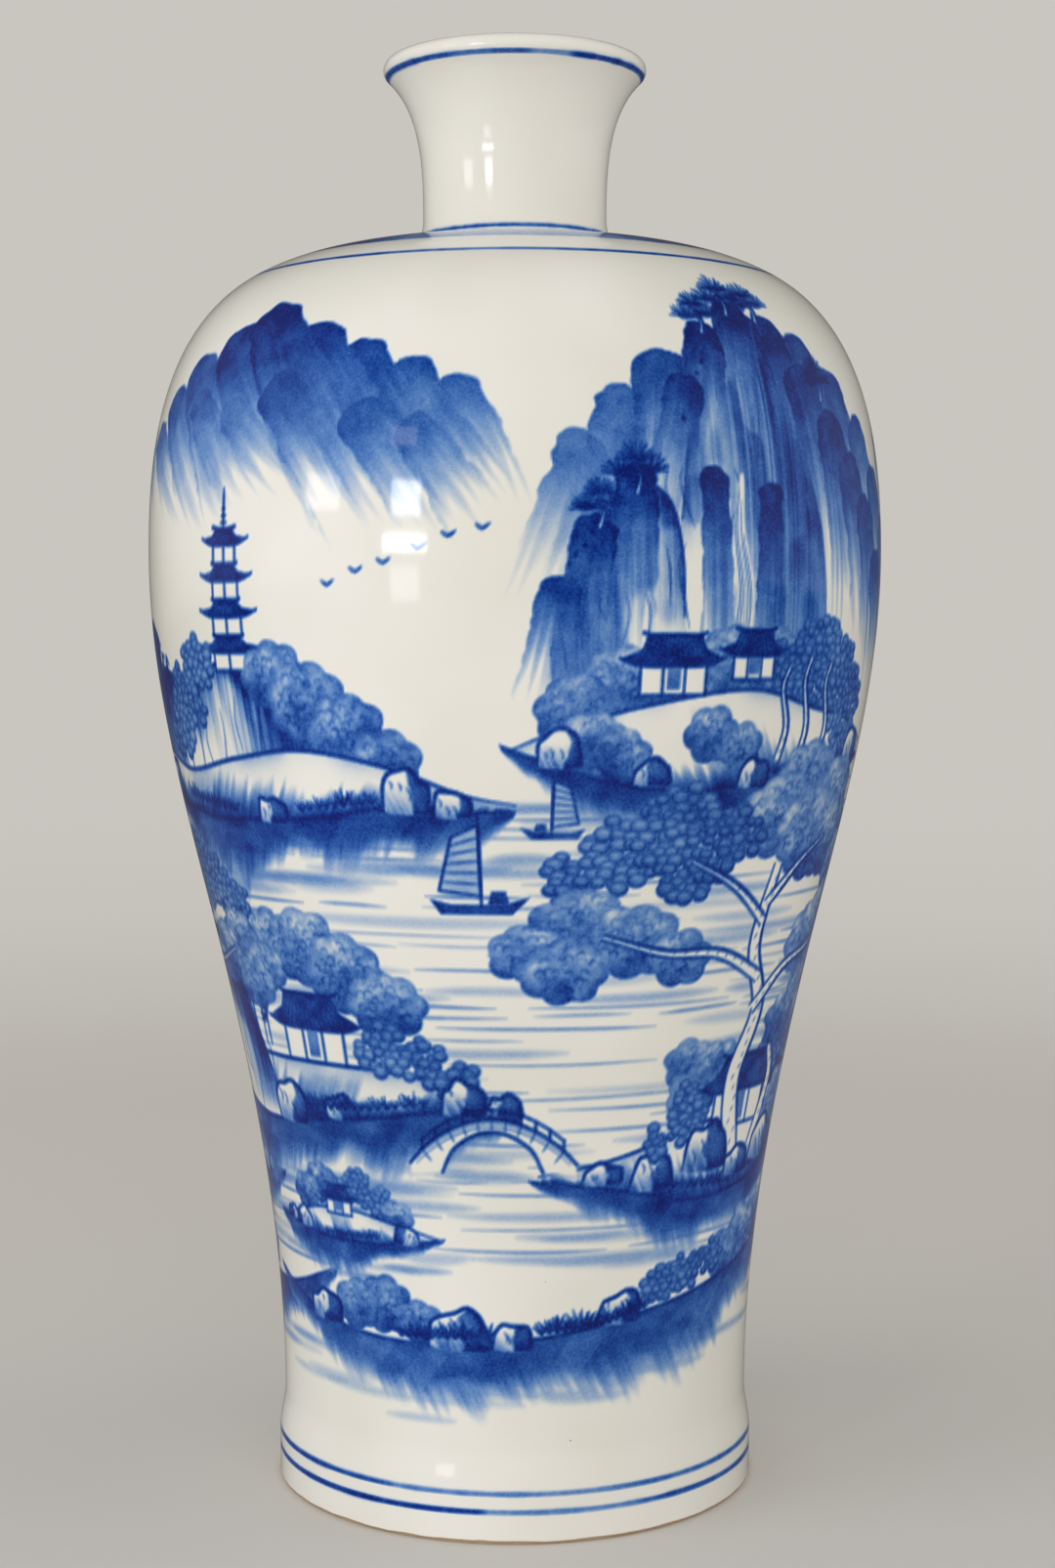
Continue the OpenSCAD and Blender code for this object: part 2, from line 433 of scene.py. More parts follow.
def rock(b, x, y, w, h, tone, seed):
    """A boulder of a few faces: lit ones left white, the others shaded in short strokes."""
    dice = np.random.default_rng(seed + 991)
    back = []
    for k in range(8):
        a = pi * k / 7
        back.append((x - w / 2 * cos(a) * dice.uniform(0.85, 1.1),
                     y + h * sin(a) ** 0.7 * dice.uniform(0.78, 1.1)))
    foot = [(x + w * 0.32, y - h * 0.12), (x - w * 0.3, y - h * 0.1)]
    tile, depth, mask = b.area(back + foot, step=2.5)
    tile.wipe(mask)
    up = (tile.y - y) / h
    crest = x + w * dice.uniform(-0.12, 0.18) + 0.22 * w * (rough(up * 3, seed) - 0.5)
    dark = ease((tile.x - crest) / (0.10 * w) + 0.5)
    low = np.clip(1 - up / 0.7, 0, 1) ** 1.5
    hair = hairs(tile.x + 0.5 * tile.y, seed, 0.55, 1.6, (0.6, 0.4))
    shade = dark * (0.62 - 0.25 * hair + 0.5 * pooled(depth, 0.9)) + 0.75 * low * hair
    tile.lay(mask * np.clip(tone * shade, 0, 0.96))
    b.line(back, 0.75, tone, taper=0.5)
    for k in range(3):
        sx = x + w * (-0.30 + 0.15 * k) + dice.uniform(-0.4, 0.4)
        sy = y + h * dice.uniform(0.35, 0.75)
        run = h * dice.uniform(0.15, 0.4)
        b.line([(sx, sy), (sx + 0.35 * run, sy - 0.5 * run), (sx + 0.25 * run, sy - run)],
               0.42, tone * 0.6, 0.2)


def rocks(b, tone, specs):
    """Boulders along a shore: x, y, width, height and seed."""
    for x, y, w, h, seed in specs:
        rock(b, x, y, w, h, tone, seed)


def crag(b, outline, shade_side, lines, white, seed):
    """A tall rock with a reserved face: dark down one side and along its top, streaked down."""
    tile, depth, mask = b.area(outline)
    (x0, y0), (x1, y1) = np.min(outline, axis=0), np.max(outline, axis=0)
    tile.wipe(mask)
    across = (tile.x - x0) / (x1 - x0)
    across = across if shade_side > 0 else 1 - across
    up = np.clip((tile.y - y0) / (y1 - y0), 0, 1)
    hair = 0.5 * rough(tile.x / 0.6 + 0.06 * tile.y, seed)
    hair = hair + 0.5 * rough(tile.x / 2.2 + 0.1 * tile.y, seed + 1)
    side = ease((across + 0.22 * (hair - 0.5) - white) / 0.5) * (0.25 + 0.75 * up ** 0.8)
    brow = pooled(depth, 2.2 + 3.0 * hair) * ease((up - 0.35) / 0.3)
    fold = ease((mottle(tile.x / 5.5, tile.y / 11.0, seed + 4) - 0.55) / 0.2) * 0.5 * up
    shade = (side + 0.8 * brow + fold) * (0.6 + 0.55 * hair)
    tile.lay(mask * np.clip(shade, 0, 0.97) * ease(up / 0.22))
    for k in range(lines):
        x = x0 + (x1 - x0) * ((k + 0.5) / lines)
        top = y1 - (y1 - y0) * b.any(0.1, 0.45)
        b.line([(x, top), (x + b.any(-1.5, 1.5), top - 5), (x + b.any(-2, 2), top - b.any(8, 20))],
               0.45, b.any(0.35, 0.7), taper=0.2)
    b.line([place for place in outline if place[1] > y0 + 0.25 * (y1 - y0)], 0.6, 1.0, taper=0.5)


def stream(b, turn, low, high, half):
    """Water between two heights, as far as half mm to each side: long level strokes, some of
    them thin and some broad and pale."""
    b.at(turn, (low + high) / 2)
    y = (low - high) / 2
    while y < (high - low) / 2:
        x = -half + b.any(0, 14)
        while x < half:
            end = min(half, x + b.any(18, 75))
            broad = b.any(0, 1) < 0.42
            if b.any(0, 1) > 0.2 and end - x > 6:
                near, far = y + b.any(-0.5, 0.5), y + b.any(-0.5, 0.5)
                middle = ((x + end) / 2, (near + far) / 2 + b.any(-0.4, 0.4))
                width = b.any(1.6, 3.0) if broad else b.any(0.4, 0.8)
                tone = WATER_TONE * (b.any(0.3, 0.6) if broad else b.any(0.6, 1.5))
                b.line([(x, near), middle, (end, far)], width, tone, 0.08, edge=0.9 if broad else 0.4)
            x = end + b.any(0, 10)
        y += WATER_GAP * b.any(0.7, 1.3)


def left_to_right(points):
    """The smooth line through the points, in the order of its x."""
    path = curve(points, 1.0)
    return path[np.argsort(path[:, 0])]


def sweep(b, points, thick, tone, lean, seed):
    """A loaded brush drawn along a line: crisp above, full, and feathered out below."""
    path = left_to_right(points)
    x0, x1 = path[0, 0], path[-1, 0]
    tile = b.tile(x0, x1, path[:, 1].min() - thick * 2.4, path[:, 1].max() + 1)
    top = np.interp(tile.x, *path.T) + 0.7 * (rough(tile.x / 2.8, seed + 8) - 0.5)
    along = np.clip((tile.x - x0) / (x1 - x0), 0, 1)
    swell = np.clip(np.sin(pi * along), 0, 1) ** 0.55 * (0.62 + 0.75 * rough(tile.x / 15, seed))
    below = top - tile.y
    lane = tile.x + lean * below
    t = below / (thick * swell + 0.01)
    reach = 0.45 + 0.38 * rough(lane / 1.3, seed + 5)
    fall = ease((t - 0.40 - 0.25 * rough(lane / 5.0, seed + 3)) / reach)
    pull = (1 - fall) * (1 - 0.5 * hairs(lane, seed + 1) * ease((t - 0.30) / 0.5))
    press = 0.12 * ease((rough((tile.x + 0.8 * below) / 7.0, seed + 6) - 0.45) / 0.08)
    patch = 0.48 + 0.48 * marbled(0.6 * tile.x, tile.y, 5.0, seed + 4) + press
    pool = 0.10 * pooled(below, 0.9) * (pull > 0.3)
    crisp = b.within(below)
    tile.wipe(crisp * 0.6 * np.clip(pull * 3, 0, 1))
    tile.lay(crisp * np.clip(tone * pull * patch + pool, 0, 0.98))


def shore(b, points, thick, tone, lean, seed):
    """The heavy band under a shore, with a drawn edge and pale level strokes in the water below."""
    for x, y in curve(points, 9.0)[1:-1]:
        low, half = y - thick * b.any(0.85, 1.3), b.any(8, 16)
        b.line([(x - half, low), (x, low + b.any(-0.4, 0.4)), (x + half, low)], b.any(1.0, 2.2),
               tone * b.any(0.12, 0.24), taper=0.05, edge=0.9)
    sweep(b, points, thick, tone, lean, seed)
    b.line(points, 0.8, tone)


def slope(b, crest, foot, tone, rise, lean, seed):
    """Open ground between its crest and its foot: white, shaded up from the foot in fine
    strokes, with a drawn crest and a fold or two."""
    upper, lower = left_to_right(crest), left_to_right(foot)
    x0, x1 = max(upper[0, 0], lower[0, 0]), min(upper[-1, 0], lower[-1, 0])
    tile = b.tile(x0, x1, lower[:, 1].min(), upper[:, 1].max() + 1)
    top, bottom = np.interp(tile.x, *upper.T), np.interp(tile.x, *lower.T)
    ends = ease((tile.x - x0) / 1.5) * ease((x1 - tile.x) / 1.5)
    inside = b.within(top - tile.y) * (tile.y > bottom) * (ends > 0.3)
    t = (tile.y - bottom) / (top - bottom + 0.01)
    lane = tile.x - lean * (tile.y - bottom)
    hair = hairs(lane, seed)
    reach = rise * (0.35 + 0.9 * rough(lane / 7, seed + 2)) * (0.6 + 0.7 * rough(lane / 1.1, seed + 3))
    shade = (1 - ease(t / (reach + 0.02))) * (1 - 0.4 * hair)
    fold = ease((rough(lane / 10, seed + 4) - 0.6) / 0.12) * (0.5 - 0.3 * hair) * ease((0.95 - t) / 0.4)
    crown = 0.35 * pooled(top - tile.y, 1.6) * rough(tile.x / 6, seed + 6)
    tile.wipe(inside)
    tile.lay(inside * np.clip(tone * (shade + 0.6 * fold + crown), 0, 0.97))
    b.line(crest, 0.7, tone, 0.4)


# Plants

def grass(b, points, size, tone, step=2.0):
    """Tufts of five blades along a line."""
    for x, y in curve(points, step):
        tall = size * b.any(0.7, 1.2)
        for k in range(5):
            angle = 46 + 22 * k + b.any(-6, 6)
            b.dab(x, y, angle, tall * b.any(0.7, 1.15), tall * 0.16, tone * b.any(0.6, 1.15))


def moss(b, points, size, tone):
    """Dots along an edge."""
    for x, y in curve(points, 2.2):
        b.dab(x + b.any(-0.5, 0.5), y + 0.4 + b.any(-0.4, 0.5), b.any(60, 120), size * b.any(0.7, 1.5),
              size * 0.85, tone * b.any(0.7, 1.1))


def in_circles(b, circles, spacing):
    """Places scattered evenly over a group of circles, the highest first."""
    x, y, r = np.array(circles, float).T
    places = []
    for j, row in enumerate(np.arange((y + r).max(), (y - r).min(), -0.8 * spacing)):
        for column in np.arange((x - r).min() + 0.5 * spacing * (j % 2), (x + r).max(), spacing):
            px, py = column + b.any(-0.35, 0.35) * spacing, row + b.any(-0.3, 0.3) * spacing
            margin = (r - np.hypot(x - px, (y - py) * 1.1)).max()
            if margin > b.any(0, 0.7) * spacing:
                places.append((px, py))
    return places


def bead_leaves(b, circles, size, tone):
    """Foliage as a heap of small round leaves, each with a dark edge and a pale middle."""
    seed = int(b.dice.integers(TABLE_SIZE))
    for x, y in in_circles(b, circles, size):
        r = size * b.any(0.56, 0.78)
        tile = b.around([(x, y)], r + 0.5)
        depth = r - np.hypot(tile.x - x, (tile.y - y) * b.any(1.0, 1.3))
        inside = b.within(depth)
        foot = np.clip(0.4 - (tile.y - y) / r, 0, 1)
        shade = 0.10 + 0.35 * marbled(x, y, 9.0, seed) + 0.75 * pooled(depth, 0.42) + 0.3 * foot
        tile.wipe(inside * 0.96)
        tile.lay(inside * np.clip(tone * shade, 0, 0.96))


def curl(b, x, y, r, aim, tone):
    """A small curled stroke."""
    turns = [radians(aim + t) for t in (-95, -30, 35, 95)]
    b.line([(x + r * cos(t), y + r * sin(t)) for t in turns], 0.5, tone)


def cloud_leaves(b, circles, tone):
    """A leafy mass: clumps of mottled wash with scalloped edges, lighter above, and small
    curled strokes all over them."""
    for x, y, r in sorted(circles, key=lambda circle: -circle[1]):
        seed = int(b.dice.integers(CLUMP_SEEDS))
        tile = b.tile(x - 1.35 * r, x + 1.35 * r, y - 1.2 * r, y + 1.2 * r)
        dx, dy = (tile.x - x) / 1.14, tile.y - y
        turn = np.arctan2(dy, dx)
        bumps = np.abs(np.sin(round(r * 0.55) * turn + seed))
        depth = r * (0.90 + 0.13 * rough(turn * 1.3 + 9, seed)) + 0.9 * bumps - 0.5 - np.hypot(dx, dy)
        inside = b.within(depth)
        low = ease(0.5 - 0.6 * dy / r + 0.15 * dx / r)
        shade = 0.22 + 0.38 * low + 0.55 * (marbled(tile.x, tile.y, 4.2, seed + 1) - 0.42)
        shade = shade + 0.35 * (marbled(tile.x, tile.y, 1.3, seed + 2) - 0.5)
        tile.wipe(inside * 0.97)
        tile.lay(inside * np.clip(tone * (shade + 0.32 * pooled(depth, 0.6)), 0.03, 0.94))
        for px, py in in_circles(b, [(x, y, r * 0.93)], 2.1):
            under = 0.5 - 0.5 * (py - y) / r
            curl(b, px, py, b.any(0.55, 1.0), b.any(40, 150),
                 tone * (0.25 + 0.5 * under) * b.any(0.5, 1.2))


def trunk(b, points, w0, w1, tone):
    """A pale reserved trunk or branch with an outline on both sides, and bark if it is thick."""
    path = curve(points, 0.8)
    n = len(path)
    d = np.gradient(path, axis=0)
    d /= np.hypot(d[:, 0], d[:, 1])[:, None] + 1e-9
    side = np.stack([-d[:, 1], d[:, 0]], 1)
    half = (w0 + (w1 - w0) * np.linspace(0, 1, n)[:, None]) / 2
    left, right = path + side * half, path - side * half
    b.keep_white(np.vstack([left, right[::-1]]))
    b.line(left, 0.5, tone, taper=0.6, smooth=False)
    b.line(right, 0.7, tone, taper=0.6, smooth=False)
    if w0 > 1.6:
        for k in range(2, n - 2, 3):
            x, y = path[k] + side[k] * half[k] * b.any(-0.5, 0.3)
            b.line([(x, y), (x + 0.5, y + 0.7 * w0 * 0.25)], 0.35, tone * 0.5, smooth=False)


def pine_fan(b, x, y, r, tone):
    """One pad of pine needles that spread like a fan from its foot."""
    for k in range(15):
        a = radians(-8 + 196 * (k + b.any(0.2, 0.8)) / 15)
        run = r * b.any(0.85, 1.08)
        b.line([(x + 0.1 * run * cos(a), y), (x + run * cos(a), y + 0.85 * run * sin(a))],
               0.5, tone * b.any(0.6, 1.0), taper=0.6, smooth=False)
    b.dab(x - 0.5 * r, y, 0, r, 0.45 * r, tone * 0.7)


def bamboo(b, x, y, h, stems, tone):
    """Thin jointed stems that bow over, with drooping leaves in threes."""
    for k in range(stems):
        sx, sh = x + 2.6 * k + b.any(-0.6, 0.6), h * b.any(0.75, 1.1)
        bow = b.any(-0.16, 0.2) * sh
        stem = curve([(sx, y), (sx + 0.1 * bow, y + 0.4 * sh), (sx + 0.4 * bow, y + 0.75 * sh),
                      (sx + bow, y + sh)], 1.4)
        b.line(stem, 0.6, tone * 0.85, taper=0.5)
        for px, py in stem:
            if b.any(0, 1) < 1.5 * (py - y) / sh - 0.35:
                aim = -90 + b.any(-65, 65)
                for part in (-28, 0, 28):
                    b.dab(px, py, aim + part + b.any(-6, 6), b.any(2.2, 3.6), 0.8, tone * b.any(0.6, 1.1))


# Buildings, boats and birds

def roof(b, x0, x1, y, h, lift=1.2, ridge_in=0.2):
    """A tiled roof with turned-up eaves."""
    w, middle = x1 - x0, (x0 + x1) / 2
    left, right = x0 + ridge_in * w, x1 - ridge_in * w
    eave_left, eave_right = x0 + 0.12 * w, x1 - 0.12 * w
    b.fill([(x0 - 1.5, y + lift), (eave_left, y + 0.1), (middle, y - 0.1), (eave_right, y + 0.1),
            (x1 + 1.5, y + lift), (x1 - 0.16 * w, y + 0.55 * h), (right, y + h), (left, y + h),
            (x0 + 0.16 * w, y + 0.55 * h)], 0.8, rim=0.2)
    rows = max(4, int(w / 1.3))
    for k in range(1, rows):
        t = k / rows
        b.line([(x0 + w * t, y + 0.3), (left + (right - left) * t, y + h - 0.2)],
               0.35, 0.65, taper=0.7, smooth=False)
    b.line([(left - 0.8, y + h + 0.5), (left + 1, y + h), (right - 1, y + h), (right + 0.8, y + h + 0.5)],
           0.8, 1.0, taper=0.8, smooth=False)
    b.line([(x0 - 1.6, y + lift + 0.3), (eave_left, y), (middle, y - 0.15), (eave_right, y),
            (x1 + 1.6, y + lift + 0.3)], 0.6, 1.0, taper=0.7)


def walls(b, x0, x1, y0, y1, posts, tone, window=False):
    """Open walls: posts on a sill, with white between them."""
    b.keep_white([(x0, y0), (x1, y0), (x1, y1), (x0, y1)])
    for k in range(posts):
        x = x0 + (x1 - x0) * k / (posts - 1)
        b.line([(x, y0), (x, y1)], 0.55, tone, taper=0.9, smooth=False)
    b.line([(x0, y0), (x1, y0)], 0.6, tone, taper=0.9, smooth=False)
    if window:
        left, right = (x0 + x1) / 2 - 1.4, (x0 + x1) / 2 + 1.4
        b.fill([(left, y0 + 1.2), (right, y0 + 1.2), (right, y1 - 0.6), (left, y1 - 0.6)], tone * 0.5)


def hall(b, x, y, w, h):
    """A small house: a roof over posts."""
    walls(b, x - 0.36 * w, x + 0.36 * w, y, y + 0.5 * h, 4, 0.85, window=True)
    roof(b, x - w / 2, x + w / 2, y + 0.5 * h, 0.5 * h)


def pagoda(b, x, y, w, storeys, storey):
    """A tower of storeys that narrow upwards, with a mast."""
    for k in range(storeys):
        half = w / 2 * (1 - 0.11 * k)
        base = y + k * storey
        eaves = base + 0.55 * storey
        walls(b, x - 0.62 * half, x + 0.62 * half, base, eaves, 3, 0.8)
        roof(b, x - half, x + half, eaves, 0.4 * storey, 0.9, 0.26)
    top = y + storeys * storey
    b.line([(x, top - 0.4), (x, top + storey * 1.1)], 0.55, 1.0, taper=0.5, smooth=False)
    for k in range(3):
        half, up = 0.9 - 0.2 * k, top + 1.0 + 1.3 * k
        b.line([(x - half, up), (x + half, up)], 0.5, 1.0, smooth=False)


def bridge(b, x0, x1, y, rise):
    """An arched stone bridge with a rail, reserved over the water."""
    deck = 2.6
    middle = (x0 + x1) / 2

    def on_deck(t, drop=0.0):
        return x0 + (x1 - x0) * t, y - drop + rise * sin(pi * t) ** 0.85
    top = [on_deck(t) for t in np.linspace(0, 1, 13)]
    under = [(x0 + (x1 - x0) * (0.2 + 0.6 * t), y - 1.5 + (rise - deck + 1.5) * sin(pi * t) ** 0.6)
             for t in np.linspace(1, 0, 11)]
    b.keep_white(top + [(x1, y - 2.2)] + under + [(x0, y - 2.2)])
    b.line(top, 0.6, 1.0, taper=0.8)
    b.line(under, 0.6, 1.0, taper=0.8)
    for k in range(1, 12):
        px, py = on_deck(k / 12)
        b.line([(px, py), (px, py + 2.0)], 0.42, 1.0, taper=0.9, smooth=False)
        b.line([(px, py - 0.2), (middle + (px - middle) * 0.88, py - deck * 0.9)], 0.35, 0.6, smooth=False)
    b.line([(px, py + 2.0) for px, py in top[1:-1]], 0.45, 1.0, taper=0.9)
    for s in (0.3, 0.62):
        b.line([on_deck(t, s * deck) for t in np.linspace(0.04, 0.96, 12)], 0.3, 0.5)


def sail_boat(b, turn, height, grow, size, tone, face=1):
    """A small junk with a battened sail."""
    b.at(turn, height, grow)

    def sized(points):
        return [(x * size * face, y * size) for x, y in points]
    b.fill(sized([(-7, 1.6), (-5.5, -0.6), (5, -0.6), (7.5, 2), (4, 0.9), (-4, 0.8)]), tone * 0.85)
    sail = sized([(0.5, 2.2), (0.2, 13), (-3.5, 11.2), (-5.6, 3)])
    b.keep_white(sail)
    b.fill(sail, tone * 0.16, rim=0.1)
    b.line(sail + sail[:1], 0.42, tone, taper=0.8, smooth=False)
    for k in range(1, 6):
        t = k / 6
        b.line(sized([(0.5 - 0.3 * t, 2.2 + 10.8 * t), (2.1 * t - 5.6, 3 + 8.2 * t)]),
               0.35, tone * 0.8, smooth=False)
    b.line(sized([(0.5, 0.6), (0.3, 14.6)]), 0.5, tone, taper=0.8, smooth=False)
    b.fill(sized([(1.5, 0.9), (4.6, 0.9), (4, 2.9), (2, 2.9)]), tone * 0.7)


def geese(b, x, y, count, step, tone):
    """A skein of geese: small ticks in a slanting row."""
    for k in range(count):
        gx, gy = x + step * k + b.any(-0.4, 0.4), y + 0.33 * step * k + b.any(-0.4, 0.4)
        b.line([(gx - 1.1, gy + 0.7), (gx, gy), (gx + 1.2, gy + 0.8)], 0.42, tone, taper=0.4)


def waterfall(b, points, width, tone):
    """A reserved fall with fine running lines."""
    path = curve(points, 1.0)
    n = len(path)
    w = width * (0.12 + np.linspace(0, 1, n) ** 0.6)
    side = np.stack([w / 2, np.zeros(n)], 1)
    b.keep_white(np.vstack([path - side, (path + side)[::-1]]))
    for k in range(1, 6):
        first, last = int(b.any(0, 0.3) * n), int(b.any(0.6, 1.0) * n)
        b.line((path + side * (k / 3 - 1))[first:last], 0.32, tone * b.any(0.4, 1), smooth=False)
# The picture: a river between mountains, painted all round the body

# The wheel's drift is counted in steps round the vase, and dies away near the seam
DRIFT_STEPS = 64
SEAM_DEGREES = 8


def ring(b, place, width, tones, soft=1.0, streaks=0.0, seed=1):
    """A line or a band laid with the vase turning on the wheel. Its tone is given at some turns
    round it, and it drifts a little as the brush empties and is filled again."""
    b.at_place(0, place)
    half = b.columns / 2
    tile = b.tile(-half * b.pitch_x, (half - 1) * b.pitch_x, -width - 2, width + 2)
    turn = tile.x / b.pitch_x / b.columns * 360
    tone = np.interp(turn, *np.array(tones, float).T, period=360)
    # All that drifts comes to rest where the ring closes, at the back
    close = ease((180 - np.abs(turn)) / SEAM_DEGREES)
    lap = turn * DRIFT_STEPS / 360
    sway = 0.3 * (rough(lap / 6, seed) - 0.5) * close
    half = width / 2 + (0.18 + 0.02 * width) * (rough(lap, seed + 1) - 0.5) * close
    tone = tone * (1 + 0.22 * (rough(lap * 4, seed + 3) - 0.5) * close)
    tone = tone * (1 + streaks * (mottle(lap / 9 * close, tile.y / 1.3, seed + 4) - 0.5))
    inside = np.clip((half - np.abs(tile.y - sway)) / (2 * b.edge * soft) + 0.5, 0, 1)
    tile.lay(inside * np.clip(tone, 0, 0.97))


def far_range(b, tone=1.0):
    """A far range under the shoulder line: overlapping heads, tails drawn down to one side."""
    lobes(b, [
        (-46, -9, -50, 22, 9, 0.5), (-37, -3, -54, 28, 11, 0.65), (-27, 2, -57, 30, 12, 0.7),
        (38, -5, -62, 22, 10, 0.55), (28, -1, -60, 26, 11, 0.65), (18, 2, -58, 32, 13, 0.8),
        (-16, 8, -54, 36, 14, 0.95), (7, 6, -58, 34, 14, 0.9), (-5, 11, -55, 38, 15, 1.0),
        (-24, -4, -46, 26, 9, 0.6), (0, -2, -50, 30, 11, 0.7), (20, -9, -50, 24, 10, 0.6),
        (-12, -6, -44, 20, 8, 0.5), (31, -12, -52, 20, 9, 0.5),
    ], tone)


def main_peak(b):
    """The great mountain with its fall."""
    lobes(b, [
        (-27, 30, -102, 38, 12, 0.6), (-17, 39, -96, 42, 13, 0.75), (36, 36, -82, 36, 13, 0.75),
        (47, 28, -78, 36, 13, 0.68), (57, 17, -74, 32, 13, 0.6), (25, 44, -86, 40, 13, 0.85),
        (67, 6, -72, 26, 12, 0.5), (-36, 20, -106, 30, 11, 0.5),
    ])
    crag(b, [(-18, -34), (-19, -12), (-14, 8), (-12, 24), (-8, 38), (-1, 49), (7, 54), (14, 50),
             (18, 38), (21, 22), (26, 6), (29, -14), (29, -34)], 1, 12, 0.30, 31)
    lobes(b, [
        (16, 48, -83, 38, 11, 1.0), (23, 38, -80, 42, 12, 0.95), (32, 28, -78, 40, 12, 0.9),
        (40, 19, -76, 36, 12, 0.85), (49, 9, -74, 34, 12, 0.8), (58, -1, -72, 28, 12, 0.7),
        (5, 53, -98, 28, 11, 1.0), (-5, 46, -101, 28, 10, 0.95), (-12, 35, -103, 26, 9, 0.9),
    ])
    crag(b, [(-40, -36), (-42, -20), (-39, -6), (-32, 6), (-24, 15), (-17, 12), (-14, 2), (-13, -12),
             (-11, -36)], -1, 7, 0.3, 47)
    lobes(b, [(-24, 14, -95, 28, 10, 1.0), (-33, 5, -98, 26, 10, 0.92), (-40, -7, -100, 24, 9, 0.8)])
    waterfall(b, [(1, 18), (0, 6), (2, -8), (0, -24), (1, -36)], 6.0, 0.55)
    lobes(b, [(-6, 16, -88, 48, 7, 0.9), (9, 14, -90, 46, 7, 0.95)], cover=0.4)
    moss(b, [(-12, 28), (-6, 42), (2, 51), (9, 55.5), (15, 50)], 1.4, 1.0)
    moss(b, [(-38, -2), (-30, 9), (-22, 16)], 1.3, 0.95)
    for x, y, s in ((-5, 49, 4.2), (4, 54, 5.0), (13, 53, 4.4), (-24, 14, 4.4), (-32, 7, 3.8),
                    (30, 36, 4.0)):
        trunk(b, [(x, y - 1), (x + 0.8, y + 2), (x, y + 5)], 1.1, 0.6, 0.95)
        for dx, dy in ((-0.7 * s, 3.0), (0.7 * s, 3.8), (0, 6.2)):
            pine_fan(b, x + dx, y + dy, s, 0.95)


def temple_slope(b):
    """Wooded slope at the great mountain's foot, with roofs among the trees."""
    cloud_leaves(b, [(-34, 1, 8), (-25, 6, 9), (-14, 7, 9), (-2, 10, 9), (8, 10, 9)], 0.85)
    bead_leaves(b, [(14, 8, 9), (24, 13, 10), (35, 9, 9), (27, 3, 9), (43, 3, 7)], 2.3, 0.98)
    slope(b, [(-48, -6), (-38, -2), (-20, 3), (4, 6), (24, 2), (42, -1), (58, -6)],
          [(-48, -7), (-30, -12), (-8, -15), (10, -13), (26, -14), (40, -10), (58, -10)],
          0.9, 0.6, -0.5, 43)
    hall(b, -15, 5, 20, 12)
    hall(b, 4, 8, 15, 10)
    cloud_leaves(b, [(-31, -4, 6), (-25, -7, 5.5), (-5, -3, 6), (3, -6, 5)], 0.95)
    for x, h in ((14, 15), (21, 18), (29, 16)):
        trunk(b, [(x, -9), (x + 1.4, -2), (x - 1, h * 0.4), (x + 0.5, h * 0.7)], 1.9, 1.0, 0.95)
    bead_leaves(b, [(36, -2, 5), (43, -4, 4.5)], 2.1, 0.9)
    shore(b, [(-50, -5), (-30, -12), (-8, -15), (10, -13), (26, -14), (40, -10), (60, -9)],
          10, 0.95, -0.35, 41)
    rocks(b, 0.95, [(-38, -9, 10, 7, 4), (-18, -13, 9, 5, 9), (49, -10, 11, 7, 6), (8, -14, 9, 6, 8)])
    grass(b, [(14, -12), (34, -11)], 2.8, 0.95)


def headland(b, tower=False):
    """A headland with a rock, for a tower."""
    lobes(b, [(-56, 10, -104, 32, 13, 0.8), (-47, 22, -100, 38, 14, 0.95), (-37, 14, -96, 32, 12, 0.85)])
    crag(b, [(-32, -10), (-29, 6), (-22, 14), (-14, 19), (-4, 20), (5, 15), (11, 6), (16, -8)],
         1, 9, 0.34, 71)
    if tower:
        pagoda(b, -8, 18, 15, 4, 6.8)
    bead_leaves(b, [(-26, 13, 8), (-20, 19, 7), (-33, 6, 7)], 2.2, 0.98)
    cloud_leaves(b, [(3, 17, 7), (10, 12, 8), (18, 6, 7.5), (26, 1, 6)], 0.95)
    foot = [(-62, 0), (-46, -7), (-28, -11), (-8, -11), (10, -10), (24, -8), (38, -9), (50, -8)]
    slope(b, [(-62, 2), (-46, 1), (-30, -2), (-10, 1), (8, 3), (26, 0), (40, -5), (50, -7)], foot,
          0.95, 0.7, 0.5, 72)
    bamboo(b, -44, 1, 22, 4, 0.95)
    shore(b, foot, 11, 0.95, 0.35, 51)
    rocks(b, 0.95, [(29, -8, 10, 8, 12), (38, -9, 8, 5, 14), (-47, -8, 13, 8, 15), (-2, -11, 9, 5, 17)])
    grass(b, [(-34, -8), (-14, -10)], 3.0, 0.9)
    grass(b, [(6, -9), (22, -7)], 3.0, 0.9)


